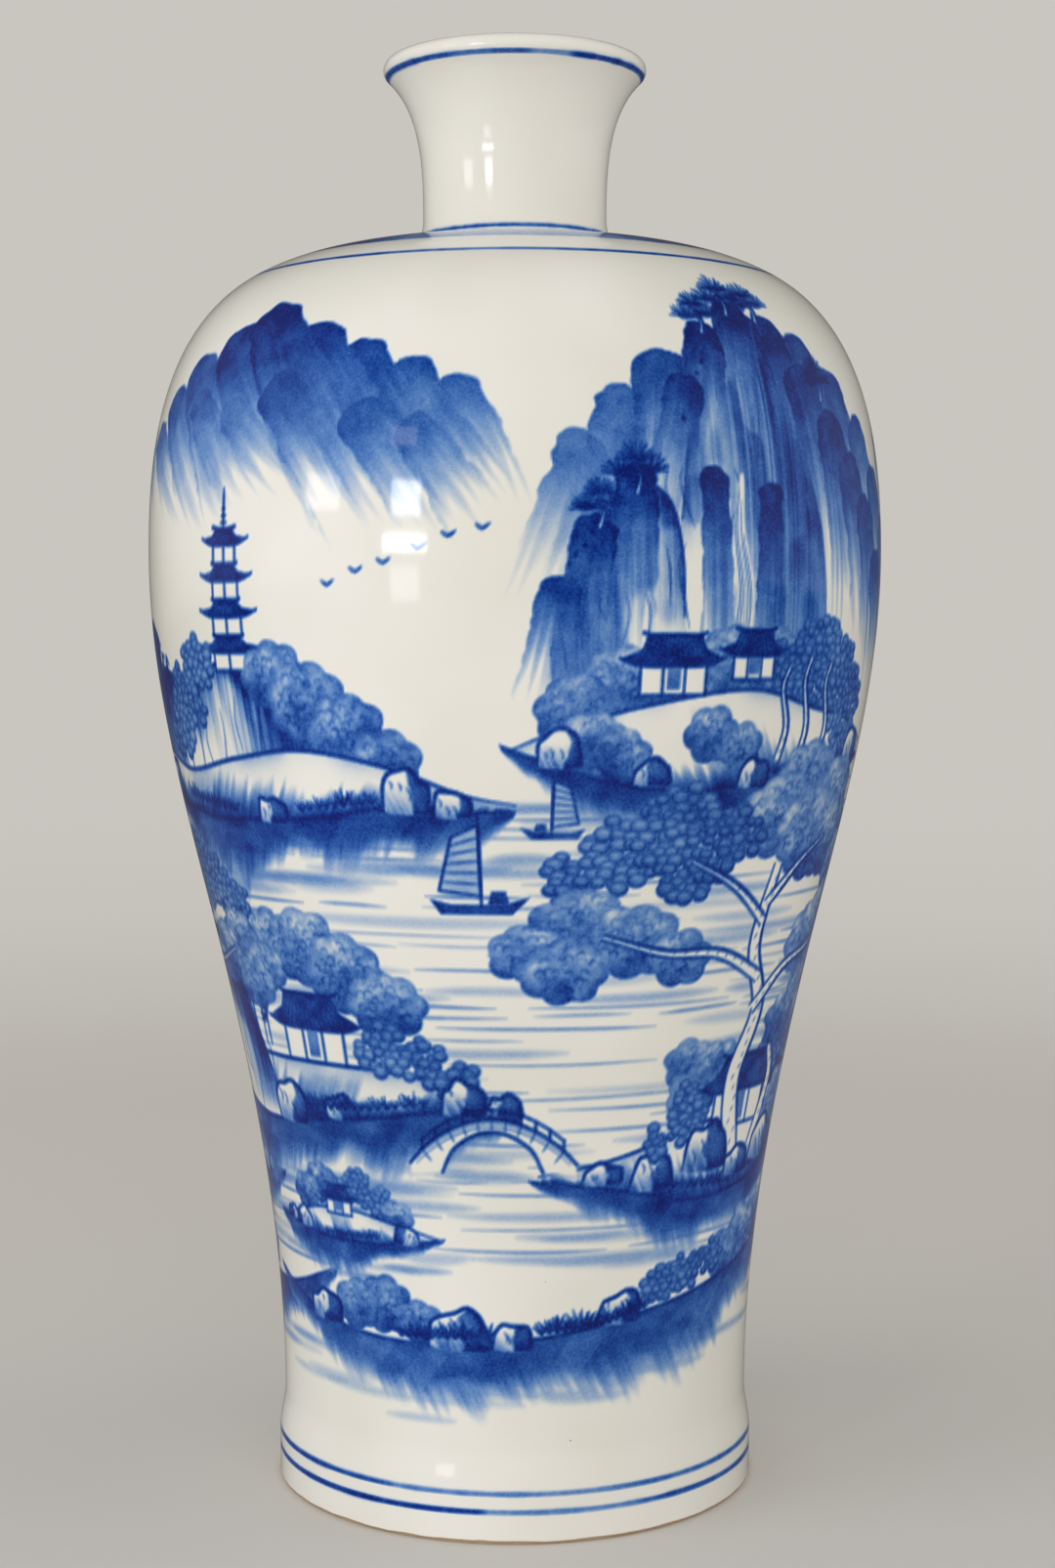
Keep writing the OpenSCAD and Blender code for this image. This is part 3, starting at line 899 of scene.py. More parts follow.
def great_trees(b):
    """Two leaning trees on the near bank."""
    cloud_leaves(b, [(6, 66, 9), (17, 62, 10), (28, 60, 9), (24, 70, 8), (37, 54, 8), (12, 74, 8)], 0.9)
    bead_leaves(b, [(-24, 60, 8), (-15, 66, 8.5), (-5, 62, 8), (-12, 56, 7.5), (-33, 55, 6)], 2.3, 0.98)
    cloud_leaves(b, [(26, 38, 8), (36, 42, 9), (44, 36, 8), (38, 31, 7)], 0.85)
    cloud_leaves(b, [(-40, 40, 6), (-31, 45, 8), (-21, 42, 8), (-34, 36, 7), (-12, 38, 6)], 0.9)
    for points, low, high in (([(10, -6), (7, 10), (11, 25), (6, 39), (8, 56)], 5.6, 2.2),
                              ([(9, 25), (18, 33), (29, 36), (37, 38)], 2.6, 1.1),
                              ([(9, 32), (-3, 38), (-15, 39), (-27, 43)], 2.6, 1.0),
                              ([(7, 44), (-2, 52), (-12, 58)], 2.1, 0.9),
                              ([(7, 48), (15, 56), (23, 61)], 2.0, 0.9),
                              ([(19, -6), (23, 8), (20, 18), (27, 30)], 3.4, 1.5)):
        trunk(b, points, low, high, 1.0)
    cloud_leaves(b, [(30, 26, 6.5), (22, 21, 6), (37, 21, 6)], 0.95)
    bead_leaves(b, [(-4, 2, 5.5), (-12, -1, 4.5), (-5, 8, 4)], 2.1, 0.95)
    cloud_leaves(b, [(32, 4, 6), (40, 1, 5), (28, -1, 5)], 0.95)
    rocks(b, 1.0, [(2, -8, 14, 10, 21), (26, -9, 13, 9, 22), (14, -11, 10, 6, 23)])


def hut_bank(b):
    """A near bank with a hut."""
    lobes(b, [(58, 24, -94, 32, 13, 0.95), (48, 17, -96, 28, 12, 0.9), (38, 11, -100, 24, 12, 0.85)])
    slope(b, [(-30, -4), (-14, -1), (4, 4), (24, 8), (44, 12), (66, 16)],
          [(-30, -5), (-12, -8), (6, -12), (26, -11), (46, -6), (66, 0)], 1.0, 0.75, -0.5, 62)
    bead_leaves(b, [(30, 18, 7), (39, 22, 7.5), (48, 20, 7)], 2.2, 0.98)
    cloud_leaves(b, [(4, 12, 6), (10, 17, 6.5), (2, 19, 5.5)], 0.9)
    hall(b, 20, 3, 26, 16)
    shore(b, [(-32, -5), (-12, -8), (6, -12), (26, -11), (46, -6), (66, 1)], 12, 0.92, -0.35, 61)
    rocks(b, 1.0, [(-16, -6, 9, 5, 64), (-4, -8, 11, 8, 65), (40, -6, 10, 6, 66)])
    grass(b, [(2, -9), (20, -10), (34, -7)], 3.0, 0.95)


def grove_bank(b):
    """Rocks, a pavilion and a grove on a bank."""
    lobes(b, [(-50, 28, -86, 36, 14, 1.0), (-40, 22, -84, 32, 13, 0.95), (-30, 15, -80, 26, 11, 0.9)])
    cloud_leaves(b, [(-19, 22, 7), (-12, 26, 7.5), (-3, 26, 8), (6, 21, 8), (14, 15, 7)], 0.92)
    bamboo(b, -28, 4, 30, 5, 1.0)
    slope(b, [(-60, 8), (-40, 4), (-20, 2), (2, 2), (18, 1), (38, -4)],
          [(-60, 2), (-44, -8), (-26, -12), (-6, -10), (10, -8), (24, -6), (38, -6)], 1.0, 0.8, 0.5, 74)
    hall(b, -4, 2, 22, 14)
    bead_leaves(b, [(13, 6, 6), (20, 4, 6), (27, 0, 5)], 2.2, 0.98)
    crag(b, [(-46, -10), (-47, 4), (-40, 14), (-31, 16), (-24, 8), (-20, -2), (-18, -12)], 1, 6, 0.34, 83)
    shore(b, [(-62, 4), (-44, -8), (-26, -12), (-6, -10), (10, -8), (24, -6), (40, -6)], 11, 0.92, 0.35, 71)
    rocks(b, 0.95, [(-15, -11, 12, 8, 31), (1, -9, 9, 5, 32), (28, -6, 9, 7, 33), (36, -6, 7, 4, 34)])
    grass(b, [(-8, -8), (6, -7), (20, -5)], 2.8, 0.95)


def isle(b, roofed=True):
    """A low isle in the stream."""
    bead_leaves(b, [(-13, 7, 6), (-6, 11, 6.5), (2, 8, 6)], 2.2, 0.95)
    cloud_leaves(b, [(9, 10, 6.5), (16, 6, 6), (-19, 3, 5)], 0.9)
    slope(b, [(-32, -3), (-20, 0), (-4, 3), (12, 2), (26, -2), (34, -3)],
          [(-32, -4), (-16, -6), (0, -7), (16, -6), (34, -4)], 0.95, 0.8, 0.4, 92)
    if roofed:
        hall(b, 2, 1, 14, 9)
    shore(b, [(-34, -3), (-16, -6), (0, -7), (16, -6), (36, -3)], 8, 0.95, 0.35, 91)
    rocks(b, 0.95, [(-22, -5, 8, 6, 93), (20, -5, 9, 6, 94), (27, -4, 6, 4, 95)])
    grass(b, [(-12, -5), (8, -6)], 2.6, 0.95)


def long_sweep(b):
    """The bank that closes the picture below, in one pull of the loaded brush."""
    cloud_leaves(b, [(60, 12, 7), (69, 15, 7), (51, 8, 6)], 0.9)
    shore(b, [(98, 16), (84, 12), (66, 7), (46, 2), (24, -2), (0, -6), (-26, -8), (-50, -6), (-76, 2)],
          13.5, 0.85, -0.45, 81)
    bead_leaves(b, [(30, 4, 5), (38, 6, 5.5), (46, 8, 5)], 2.1, 0.98)
    cloud_leaves(b, [(-42, -1, 6), (-34, 0, 6.5), (-26, -3, 5)], 0.92)
    rocks(b, 1.0, [(-16, -8, 14, 9, 41), (-4, -8, 9, 6, 42), (20, -3, 11, 7, 43), (-52, -6, 12, 7, 44)])
    grass(b, [(-30, -7), (-10, -6)], 3.6, 0.95, 1.7)
    grass(b, [(2, -5), (14, -4), (26, -1)], 4.2, 0.95, 1.7)


def put(b, scene, turn, height, grow, face=1, **how):
    """Paints a scene at a place: degrees round from the front, mm up, and its scale there."""
    b.at(turn, height, grow, face)
    scene(b, **how)


def front(b):
    """The side that is turned to the viewer."""
    put(b, far_range, -37, 303, 1.3)
    put(b, main_peak, 33, 258, 1.2)
    stream(b, 5, 128, 200, 110)
    put(b, temple_slope, 34, 218, 1.25)
    b.at(-12, 252, 1.5)
    geese(b, -18, 0, 6, 5.4, 0.95)
    put(b, headland, -40, 206, 1.35, tower=True)
    sail_boat(b, -6, 170, 1.5, 1.15, 1.0)
    sail_boat(b, 6, 189, 1.3, 0.85, 0.9, -1)
    stream(b, 0, 76, 128, 100)
    put(b, grove_bank, -38, 124, 1.35)
    put(b, hut_bank, 34, 104, 1.25)
    b.at(-4, 106, 1.35)
    bridge(b, -17, 16, -3, 9.5)
    put(b, great_trees, 42, 108, 1.3)
    put(b, great_trees, -88, 106, 1.15, -1)
    put(b, long_sweep, 4, 62, 1.2)
    put(b, isle, -40, 84, 0.9, -1)


def back(b):
    """The side that is turned away: the river goes on round the body."""
    put(b, main_peak, 172, 262, 1.15, -1)
    put(b, far_range, 110, 303, 1.25, -1, tone=0.95)
    put(b, far_range, -108, 300, 1.2, tone=0.9)
    stream(b, 180, 125, 205, 190)
    put(b, isle, 122, 220, 1.25)
    put(b, temple_slope, 170, 216, 1.2, -1)
    put(b, headland, -116, 200, 1.25, -1)
    sail_boat(b, 134, 176, 1.4, 1.2, 1.0)
    sail_boat(b, -150, 178, 1.4, 1.1, 1.0, -1)
    sail_boat(b, 96, 192, 1.4, 0.9, 1.0, -1)
    sail_boat(b, -84, 176, 1.4, 1.0, 1.0)
    stream(b, 180, 70, 125, 170)
    put(b, hut_bank, 104, 122, 1.25)
    put(b, grove_bank, -136, 118, 1.3, -1)
    put(b, great_trees, -176, 104, 1.3, -1)
    put(b, isle, 152, 96, 1.2, -1)
    put(b, long_sweep, 184, 60, 1.2, -1)
    put(b, isle, -92, 96, 1.1, roofed=False)
    b.at(-88, 66, 1.2)
    shore(b, [(-50, 4), (-24, -3), (0, -5), (24, -4), (44, 3)], 13, 1.0, -0.35, 97)
    cloud_leaves(b, [(-14, 2, 6), (-5, 4, 6.5), (5, 2, 6)], 0.9)


def turned_lines(b):
    """The plain lines that every such vase has: two at the foot, two on the shoulder with a
    wash between them and the neck, and one under the lip. Tones are pairs of turn and depth."""
    ring(b, (67.6, 8.5), 1.25,
         [(-60, 0.95), (-9, 0.97), (-6, 0.42), (28, 0.40), (32, 0.72), (120, 0.85)], seed=3)
    ring(b, (67.5, 13.6), 1.15,
         [(-60, 0.9), (-32, 0.85), (-28, 0.45), (22, 0.42), (28, 0.62), (130, 0.8)], seed=4)
    ring(b, (76.0, 336.5), 1.1,
         [(-90, 0.7), (-40, 0.9), (-10, 0.6), (25, 0.9), (70, 0.95), (150, 0.7)], seed=5)
    # The wash is real cobalt, but its pale stretch across the front, from -26 to 25 degrees round, is a
    # painted reflection of the white neck in the glaze over it
    ring(b, (59.5, 343.5), 14.0,
         [(-90, 0.75), (-40, 0.92), (-26, 0.34), (25, 0.36), (36, 0.9), (90, 0.8), (180, 0.85)],
         soft=2.0, streaks=0.9, seed=6)
    ring(b, (26.9, 350.8), 0.8, [(-70, 0.95), (-20, 0.92), (10, 0.7), (60, 0.95), (160, 0.85)], seed=7)
    ring(b, (36.1, 395.0), 1.4,
         [(-60, 0.8), (-33, 0.75), (-28, 0.55), (-11, 0.55), (-7, 0.75), (5, 0.7), (10, 0.36),
          (24, 0.36), (28, 0.9), (70, 0.85), (170, 0.7)], seed=8)


def paint(b):
    """The whole painting, from the far hills to the near banks, and the turned lines."""
    back(b)
    front(b)
    turned_lines(b)


# The thrown sections

PITCH = 0.5
MAP_GAP = 3.0
SHARP_EDGE = radians(40)
LAP_STEPS = 6
# What lies this close to the axis, in metres, is one point
ON_AXIS = 1e-7
# The kinds of band in a profile: the step along it in mm, or 0 to keep its own points, how many
# strips it is cut into on the map, and its scale there
BANDS = {
    "painted": (PITCH, 2, 1.0),
    "joint": (0, 1, 0.3),
    "inside": (5.0, 1, 0.45),
    "floor": (2.0, 1, 0.4),
    "recess": (4.0, 1, 0.5),
    "rounded": (0, 1, 0.8),
    "mouth": (1.5, 1, 0.6),
}


def lining(low, middle, high, start, end):
    """The inside of a section, from one joint to a little past the next."""
    return np.vstack([trace(low, middle, WALL_T, start)[:-1],
                      trace(middle, high, WALL_T, 0, end, LAP_STEPS)])


def section_profiles():
    """Each section's closed profile, as bands of the kinds above."""
    foot_r, ring_in_r = FOOT_TOP[0], FOOT_TOP[0] - FOOT_RING_W
    floor_z = RECESS_H + RECESS_RISE + FLOOR_T
    inner_r = WAIST[0] - WALL_T
    recess = np.vstack([[0, RECESS_H + RECESS_RISE],
                        arc((ring_in_r - RECESS_FILLET, RECESS_H - RECESS_FILLET), RECESS_FILLET, 90, 0)])
    foot_ring = np.vstack([arc((ring_in_r + FOOT_BEVEL, FOOT_BEVEL), FOOT_BEVEL, 180, 270),
                           arc((foot_r - FOOT_BEVEL, FOOT_BEVEL), FOOT_BEVEL, 270, 360)])
    corner = arc((inner_r - FLOOR_FILLET, floor_z + FLOOR_FILLET), FLOOR_FILLET, 0, -90)
    dish = np.vstack([WAIST_LAP[-1], corner, [0, floor_z]])
    lower = lining(WAIST, FLANK, BELLY, WAIST_UP, FLANK_UP)
    upper = lining(FLANK, BELLY, SHOULDER_TURN, FLANK_UP, BELLY_UP)
    dome = np.vstack([trace(BELLY, SHOULDER_TURN, WALL_T, BELLY_UP)[:-1],
                      trace(SHOULDER_TURN, NECK_ROOT, WALL_T)])
    collar = np.array([NECK_ROOT[:2], (SPIGOT_R, NECK_ROOT[1]), (SPIGOT_R, dome[-1][1]), dome[-1]])
    seat = np.array([(SPIGOT_R, SPIGOT_Z), (SPIGOT_R, NECK_ROOT[1]), NECK_ROOT[:2]])
    lip = arc(LIP_ROLL, LIP_ROLL_R, 0, 180 - MOUTH_LEAN, 15)
    mouth = np.vstack([trace((BORE_R, BORE_TOP_Z, 0), (*IN_LIP, MOUTH_LEAN))[::-1], [BORE_R, SPIGOT_Z]])
    sole = np.array([(BORE_R, SPIGOT_Z), (SPIGOT_R, SPIGOT_Z)])
    return {
        "foot": [("recess", recess), ("rounded", foot_ring), ("painted", OUTER["foot"]),
                 ("joint", WAIST_LAP), ("floor", dish)],
        "lower_body": [("painted", OUTER["lower_body"]), ("joint", FLANK_LAP),
                       ("inside", lower[::-1]), ("joint", WAIST_LAP[::-1])],
        "upper_body": [("painted", OUTER["upper_body"]), ("joint", BELLY_LAP),
                       ("inside", upper[::-1]), ("joint", FLANK_LAP[::-1])],
        "shoulder": [("painted", OUTER["shoulder"]), ("joint", collar),
                     ("inside", dome[::-1]), ("joint", BELLY_LAP[::-1])],
        "neck": [("painted", OUTER["neck"]), ("rounded", lip), ("mouth", mouth),
                 ("joint", sole), ("joint", seat)],
    }


def placed(name, data):
    """A new object in the scene."""
    made = bpy.data.objects.new(name, data)
    bpy.context.collection.objects.link(made)
    return made


def painting_at(canvas, along, columns):
    """The painting at these lengths up the wall, on so many columns round it."""
    rows = along / lengths(WALL_LINE)[-1] * (len(canvas) - 1)
    low = np.clip(np.floor(rows).astype(int), 0, len(canvas) - 2)
    part = (rows - low)[:, None]
    strip = canvas[low] * (1 - part) + canvas[low + 1] * part
    at = np.arange(columns) * canvas.shape[1] / columns
    left = np.floor(at).astype(int)
    right = (left + 1) % canvas.shape[1]
    return strip[:, left] * (1 - (at - left)) + strip[:, right] * (at - left)


def joined(profile, wall_start):
    """The bands of a profile as one line, with how far up the painted wall each point lies, or
    -1, and the first and last point of each band with its strips and its scale on the map."""
    line, along, bands = np.zeros((0, 2)), np.zeros(0), []
    for kind, band in profile:
        step, strips, scale = BANDS[kind]
        points = evenly(band, step) if step else band
        up = wall_start + lengths(points) if kind == "painted" else np.full(len(points), -1.0)
        if len(line):
            along[-1] = max(along[-1], up[0])
            points, up = points[1:], up[1:]
        first = max(0, len(line) - 1)
        line, along = np.vstack([line, points]), np.append(along, up)
        bands.append((first, len(line) - 1, strips, scale))
    return line, along, bands


def turned(name, profile, columns, canvas, wall_start):
    """A closed solid from a profile turned about the axis, its outer wall painted from the canvas."""
    line, along, bands = joined(profile, wall_start)
    closed = np.allclose(line[0], line[-1])
    count = len(line) - closed
    turn = np.linspace(-pi, pi, columns, endpoint=False)
    radius, height = line[:count, :1], line[:count, 1:]
    points = np.stack([radius * np.sin(turn), -radius * np.cos(turn), height + 0 * turn], 2)
    cobalt = np.zeros((count, columns))
    painted = along[:count] >= 0
    cobalt[painted] = painting_at(canvas, along[:count][painted], columns)

    # The map: each band of the profile lies flat on it, the outer wall as two half turns
    here = np.arange(columns)
    after = (here + 1) % columns
    faces, places, top, widest = [], [], 0.0, 0.0
    for first, last, strips, scale in bands:
        up = lengths(line[first:last + 1]) * scale
        wide = 2 * pi * line[first:last + 1, 0].max() * scale / strips
        half = columns // strips
        left = here % half * wide / half
        right = left + wide / half
        base = top + here // half * (up[-1] + MAP_GAP)
        for k in range(first, last):
            below, above = k * columns, (k + 1) % count * columns
            low, high = base + up[k - first], base + up[k + 1 - first]
            faces.append(np.stack([below + here, below + after, above + after, above + here], 1))
            places.append(np.stack([left, low, right, low, right, high, left, high], 1))
        top += strips * (up[-1] + MAP_GAP)
        widest = max(widest, wide)

    mesh = bpy.data.meshes.new(name)
    mesh.from_pydata((points.reshape(-1, 3) * MM).tolist(), [], np.vstack(faces).tolist())
    flat = np.concatenate(places).ravel() / max(top, widest)
    mesh.uv_layers.new(name="OFBake").data.foreach_set("uv", flat.astype(np.float32))
    depth = mesh.attributes.new("cobalt", "FLOAT", "POINT")
    depth.data.foreach_set("value", cobalt.ravel().astype(np.float32))
    if not closed:
        weld_poles(mesh)
    mesh.shade_smooth()
    mesh.set_sharp_from_angle(angle=SHARP_EDGE)
    return placed(name, mesh)


def weld_poles(mesh):
    """Draws each ring that lies on the axis together into one point."""
    shape = bmesh.new()
    shape.from_mesh(mesh)
    on_axis = [v for v in shape.verts if hypot(v.co.x, v.co.y) < ON_AXIS]
    bmesh.ops.remove_doubles(shape, verts=on_axis, dist=ON_AXIS)
    shape.to_mesh(mesh)
    shape.free()


# Each section stands for its own node and for the slip in the joint below it
STANDS_FOR = {
    "foot": ("foot",),
    "lower_body": ("lower_body", "foot_seam"),
    "upper_body": ("upper_body", "flank_seam"),
    "shoulder": ("shoulder", "belly_seam"),
    "neck": ("neck", "neck_seam"),
}


def throw_sections(canvas, finishes):
    """Makes the five sections, each with its part of the painting, and hides the parts of the model that each
    stands for.
    """
    wall_start = 0.0
    for name, profile in section_profiles().items():
        wall = OUTER[name]
        columns = 4 * round(2 * pi * wall[:, 0].max() / PITCH / 4)
        piece = turned("painted_" + name, profile, columns, canvas, wall_start)
        wall_start += lengths(wall)[-1]
        piece.data.materials.append(finishes.get(name, finishes["body"]))
        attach(piece, "root")
        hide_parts(*STANDS_FOR[name])


# Finishes

def colour(hex_code, alpha=1.0):
    """An sRGB hex value as the linear colour that a shader takes."""
    channels = [int(hex_code[i:i + 2], 16) / 255 for i in (0, 2, 4)]
    return [c / 12.92 if c <= 0.04045 else ((c + 0.055) / 1.055) ** 2.4 for c in channels] + [alpha]


def add(tree, kind, inputs=None, out=0, stops=(), **settings):
    """Adds a node with its settings and links, and gives one of its outputs. An input is a value
    or another node's output; stops are places from 0 to 1 on a ramp, with their colours."""
    made = tree.nodes.new(kind)
    for name, value in settings.items():
        setattr(made, name, value)
    for name, value in (inputs or {}).items():
        if isinstance(value, bpy.types.NodeSocket):
            tree.links.new(value, made.inputs[name])
        else:
            made.inputs[name].default_value = value
    for place, hex_code in stops:
        steps = made.color_ramp.elements
        step = steps[0] if place == 0 else steps[-1] if place == 1 else steps.new(place)
        step.color = colour(hex_code)
    return made.outputs[out] if made.outputs else None


def emptied(block):
    """The node tree of a new material or world, with nothing in it yet."""
    block.use_nodes = True
    block.node_tree.nodes.clear()
    return block.node_tree


# Names of the nodes that come up most
NOISE, RANGE, MATHS, MIX, BUMP = ("ShaderNodeTexNoise", "ShaderNodeMapRange", "ShaderNodeMath",
                                  "ShaderNodeMix", "ShaderNodeBump")
PER_MM = 1 / MM

# Cobalt under the glaze, from bare glaze to where the brush stood longest. It turns from a
# watery grey blue to a strong blue and then to a blue-black, as more of it lies there.
COBALT_DEPTHS = [
    (0.00, "EAE8E2"), (0.08, "C3CEDA"), (0.18, "94AED2"), (0.30, "6B92CA"), (0.42, "4C79BE"),
    (0.56, "2D5EAD"), (0.70, "16479A"), (0.85, "062F89"), (1.00, "02186A"),
]
THICK_GLAZE = "F1F1EC"
IRON_SPECK = "6E4A2C"
BISCUIT = "CBBBA2"
BISCUIT_SHADE = "B9A78C"
RUST_LINE = "9A6B45"
# Sizes of what shows in the glaze and its colour
GRAIN_MM = 0.7
POOL_MM = 5.0
GLAZE_RUN_MM = 60.0
SPECK_GAP_MM = 11.0
SPECK_PATCH_MM = 25.0
# How far a speck reaches, as shares of the gap, from its full middle to its faint edge
SPECK_CORE, SPECK_EDGE = 0.018, 0.028
WAVE_MM = 42.0
WAVE_H_MM = 0.22
DIMPLE_MM = 2.6
DIMPLE_H_MM = 0.006
SMEAR_MM = 16.0
GLOSSIEST, DULLEST = 0.055, 0.085
GLAZE_IOR = 1.5
# Heights over which the glaze stops at the foot ring, and the rust line there
RAGGED_MM = 9.0
RAGGED_H_MM = 0.5
BARE_TO_MM, GLAZED_FROM_MM = 0.9, 1.2
RUST_FROM_MM, RUST_TO_MM = 0.2, 1.0
TOAST_MM = 1.2
GRIT_MM = 0.6
GRIT_H_MM = 0.05
BISCUIT_ROUGHNESS = 0.72


def porcelain_glaze(name, bare_foot=False):
    """Glazed porcelain, thrown, painted and dipped: a warm white clay under a clear glaze that
    lies in soft waves and tiny dimples, so reflections are bright but not quite straight."""
    material = bpy.data.materials.new(name)
    tree = emptied(material)
    spots = add(tree, "ShaderNodeTexCoord", out="Object")

    # Cobalt gathers in fine grains and in wider pools where the wash is strong
    depth = add(tree, "ShaderNodeAttribute", out="Fac", attribute_name="cobalt")
    for size, low, high in ((GRAIN_MM, 0.84, 1.14), (POOL_MM, 0.90, 1.10)):
        grains = add(tree, NOISE, {"Vector": spots, "Scale": PER_MM / size, "Detail": 3.0,
                                   "Roughness": 0.6})
        heaped = add(tree, RANGE, {"Value": grains, "From Min": 0.3, "From Max": 0.7,
                                   "To Min": low, "To Max": high})
        depth = add(tree, MATHS, {0: depth, 1: heaped}, operation="MULTIPLY")
    shade = add(tree, "ShaderNodeValToRGB", {"Fac": depth}, stops=COBALT_DEPTHS)
    # The white runs a little greyer where the glaze is thick
    run = add(tree, NOISE, {"Vector": spots, "Scale": PER_MM / GLAZE_RUN_MM})
    run = add(tree, RANGE, {"Value": run, "From Min": 0.3, "From Max": 0.75})
    shade = add(tree, MIX, {0: run, 6: shade, 7: colour(THICK_GLAZE)}, 2, data_type="RGBA",
                blend_type="MULTIPLY")
    # Iron in the clay shows as a few pin-prick specks
    speck = add(tree, "ShaderNodeTexVoronoi", {"Vector": spots, "Scale": PER_MM / SPECK_GAP_MM}, "Distance")
    speck = add(tree, RANGE, {"Value": speck, "From Min": SPECK_EDGE, "From Max": SPECK_CORE})
    rare = add(tree, NOISE, {"Vector": spots, "Scale": PER_MM / SPECK_PATCH_MM})
    rare = add(tree, RANGE, {"Value": rare, "From Min": 0.58, "From Max": 0.62})
    speck = add(tree, MATHS, {0: speck, 1: rare}, operation="MULTIPLY")
    shade = add(tree, MIX, {0: speck, 6: shade, 7: colour(IRON_SPECK)}, 2, data_type="RGBA")

    # Waves from throwing and from the glaze's own run, and dimples like orange peel
    waves = add(tree, NOISE, {"Vector": spots, "Scale": PER_MM / WAVE_MM, "Detail": 1.0})
    waves = add(tree, BUMP, {"Height": waves, "Strength": 1.0, "Distance": WAVE_H_MM * MM})
    dimples = add(tree, NOISE, {"Vector": spots, "Scale": PER_MM / DIMPLE_MM, "Detail": 1.0})
    dimples = add(tree, BUMP, {"Height": dimples, "Strength": 1.0, "Distance": DIMPLE_H_MM * MM,
                               "Normal": waves})
    smear = add(tree, NOISE, {"Vector": spots, "Scale": PER_MM / SMEAR_MM})
    smear = add(tree, RANGE, {"Value": smear, "From Min": 0.3, "From Max": 0.7,
                              "To Min": GLOSSIEST, "To Max": DULLEST})
    surface = add(tree, "ShaderNodeBsdfPrincipled", {"Base Color": shade, "Roughness": smear,
                                                     "IOR": GLAZE_IOR, "Normal": dimples})
    if bare_foot:
        surface = unglazed_ring(tree, spots, surface)
    add(tree, "ShaderNodeOutputMaterial", {"Surface": surface})
    return material


def unglazed_ring(tree, spots, glazed):
    """The ring that the vase stood on in the kiln, wiped bare: matt, slightly toasted biscuit
    porcelain with a thin rusty edge where the glaze stops."""
    height = add(tree, "ShaderNodeSeparateXYZ", {"Vector": spots}, "Z")
    ragged = add(tree, NOISE, {"Vector": spots, "Scale": PER_MM / RAGGED_MM, "Detail": 3.0})
    ragged = add(tree, RANGE, {"Value": ragged, "To Min": -RAGGED_H_MM * MM, "To Max": RAGGED_H_MM * MM})
    edge = add(tree, MATHS, {0: height, 1: ragged}, operation="ADD")
    bare = add(tree, RANGE, {"Value": edge, "From Min": BARE_TO_MM * MM, "From Max": GLAZED_FROM_MM * MM,
                             "To Min": 1.0, "To Max": 0.0})
    rust = add(tree, RANGE, {"Value": edge, "From Min": RUST_FROM_MM * MM, "From Max": RUST_TO_MM * MM})
    rust = add(tree, MATHS, {0: rust, 1: bare}, operation="MULTIPLY")
    toast = add(tree, NOISE, {"Vector": spots, "Scale": PER_MM / TOAST_MM, "Detail": 4.0, "Roughness": 0.7})
    toast = add(tree, RANGE, {"Value": toast, "From Min": 0.3, "From Max": 0.7})
    clay = add(tree, MIX, {0: toast, 6: colour(BISCUIT), 7: colour(BISCUIT_SHADE)}, 2, data_type="RGBA")
    clay = add(tree, MIX, {0: rust, 6: clay, 7: colour(RUST_LINE)}, 2, data_type="RGBA")
    grit = add(tree, NOISE, {"Vector": spots, "Scale": PER_MM / GRIT_MM, "Detail": 4.0, "Roughness": 0.7})
    grit = add(tree, BUMP, {"Height": grit, "Strength": 1.0, "Distance": GRIT_H_MM * MM})
    biscuit = add(tree, "ShaderNodeBsdfPrincipled", {"Base Color": clay, "Roughness": BISCUIT_ROUGHNESS,
                                                     "Normal": grit})
    return add(tree, "ShaderNodeMixShader", {0: bare, 1: glazed, 2: biscuit})


# The studio

# The eye stands 710 mm from the axis at 237 mm up, and looks a little down, as in the photograph
EYE = Vector((0.0, -0.7104, 0.2373))
LOOK_DOWN = radians(3.257)
LENS_MM = 57.17
SENSOR_MM = 36
SIDE_SHIFT = 0.0081
BACKDROP = "C9C6C0"
ROOM_LIGHT = "E3E2E0"
ROOM_CEILING = "A9A7A3"
ROOM_WALLS = "524F4B"
ROOM_CURTAINS = "A5A19B"
PAPER = "DEDBD5"
PAPER_IN_GLAZE = "8C8883"
# The paper's radius, and how far out it begins and ends to fade into the backdrop, in metres
FLOOR_R = 6.0
FADE_FROM, FADE_TO = 0.55, 5.5

# Lamps: degrees round from the front, degrees up, metres away, width and height, radiance and
# the height aimed at. A window with cross bars stands at the left: its panes show as bright
# patches in the glaze. The soft boxes at the front and at both sides don't show in it.
DAYLIGHT = "FAFAFF"
WINDOW = {
    "window_pane_middle": (-31.8, 7.8, 2.2, (0.33, 0.195), 12, 0.272),
    "window_pane_low": (-32.2, 2.2, 2.2, (0.50, 0.072), 18, 0.262),
    "window_sill": (-32.2, -3.6, 2.2, (0.34, 0.20), 3.0, 0.262),
    "window_pane_high": (-33.5, 17.9, 2.2, (0.30, 0.15), 2, 0.286),
    "window_far_pane": (-58.5, 8.2, 2.2, (0.44, 0.19), 4, 0.270),
}
SOFT_BOXES = {
    "soft_box_front": (8, 4, 2.6, (2.6, 1.5), 1.95, 0.25, "FFFCF8"),
    "soft_box_left": (-66, 20, 2.2, (1.4, 1.4), 1.65, 0.25, "FFFFFF"),
    "soft_box_right": (85, 30, 2.2, (1.4, 1.4), 0.7, 0.25, "FFFFFF"),
}


def set_camera():
    lens = bpy.data.cameras.new("camera")
    lens.lens = LENS_MM
    lens.sensor_width = SENSOR_MM
    lens.shift_x = SIDE_SHIFT
    camera = placed("camera", lens)
    camera.location = EYE
    camera.rotation_euler = (pi / 2 - LOOK_DOWN, 0, 0)
    bpy.context.scene.camera = camera


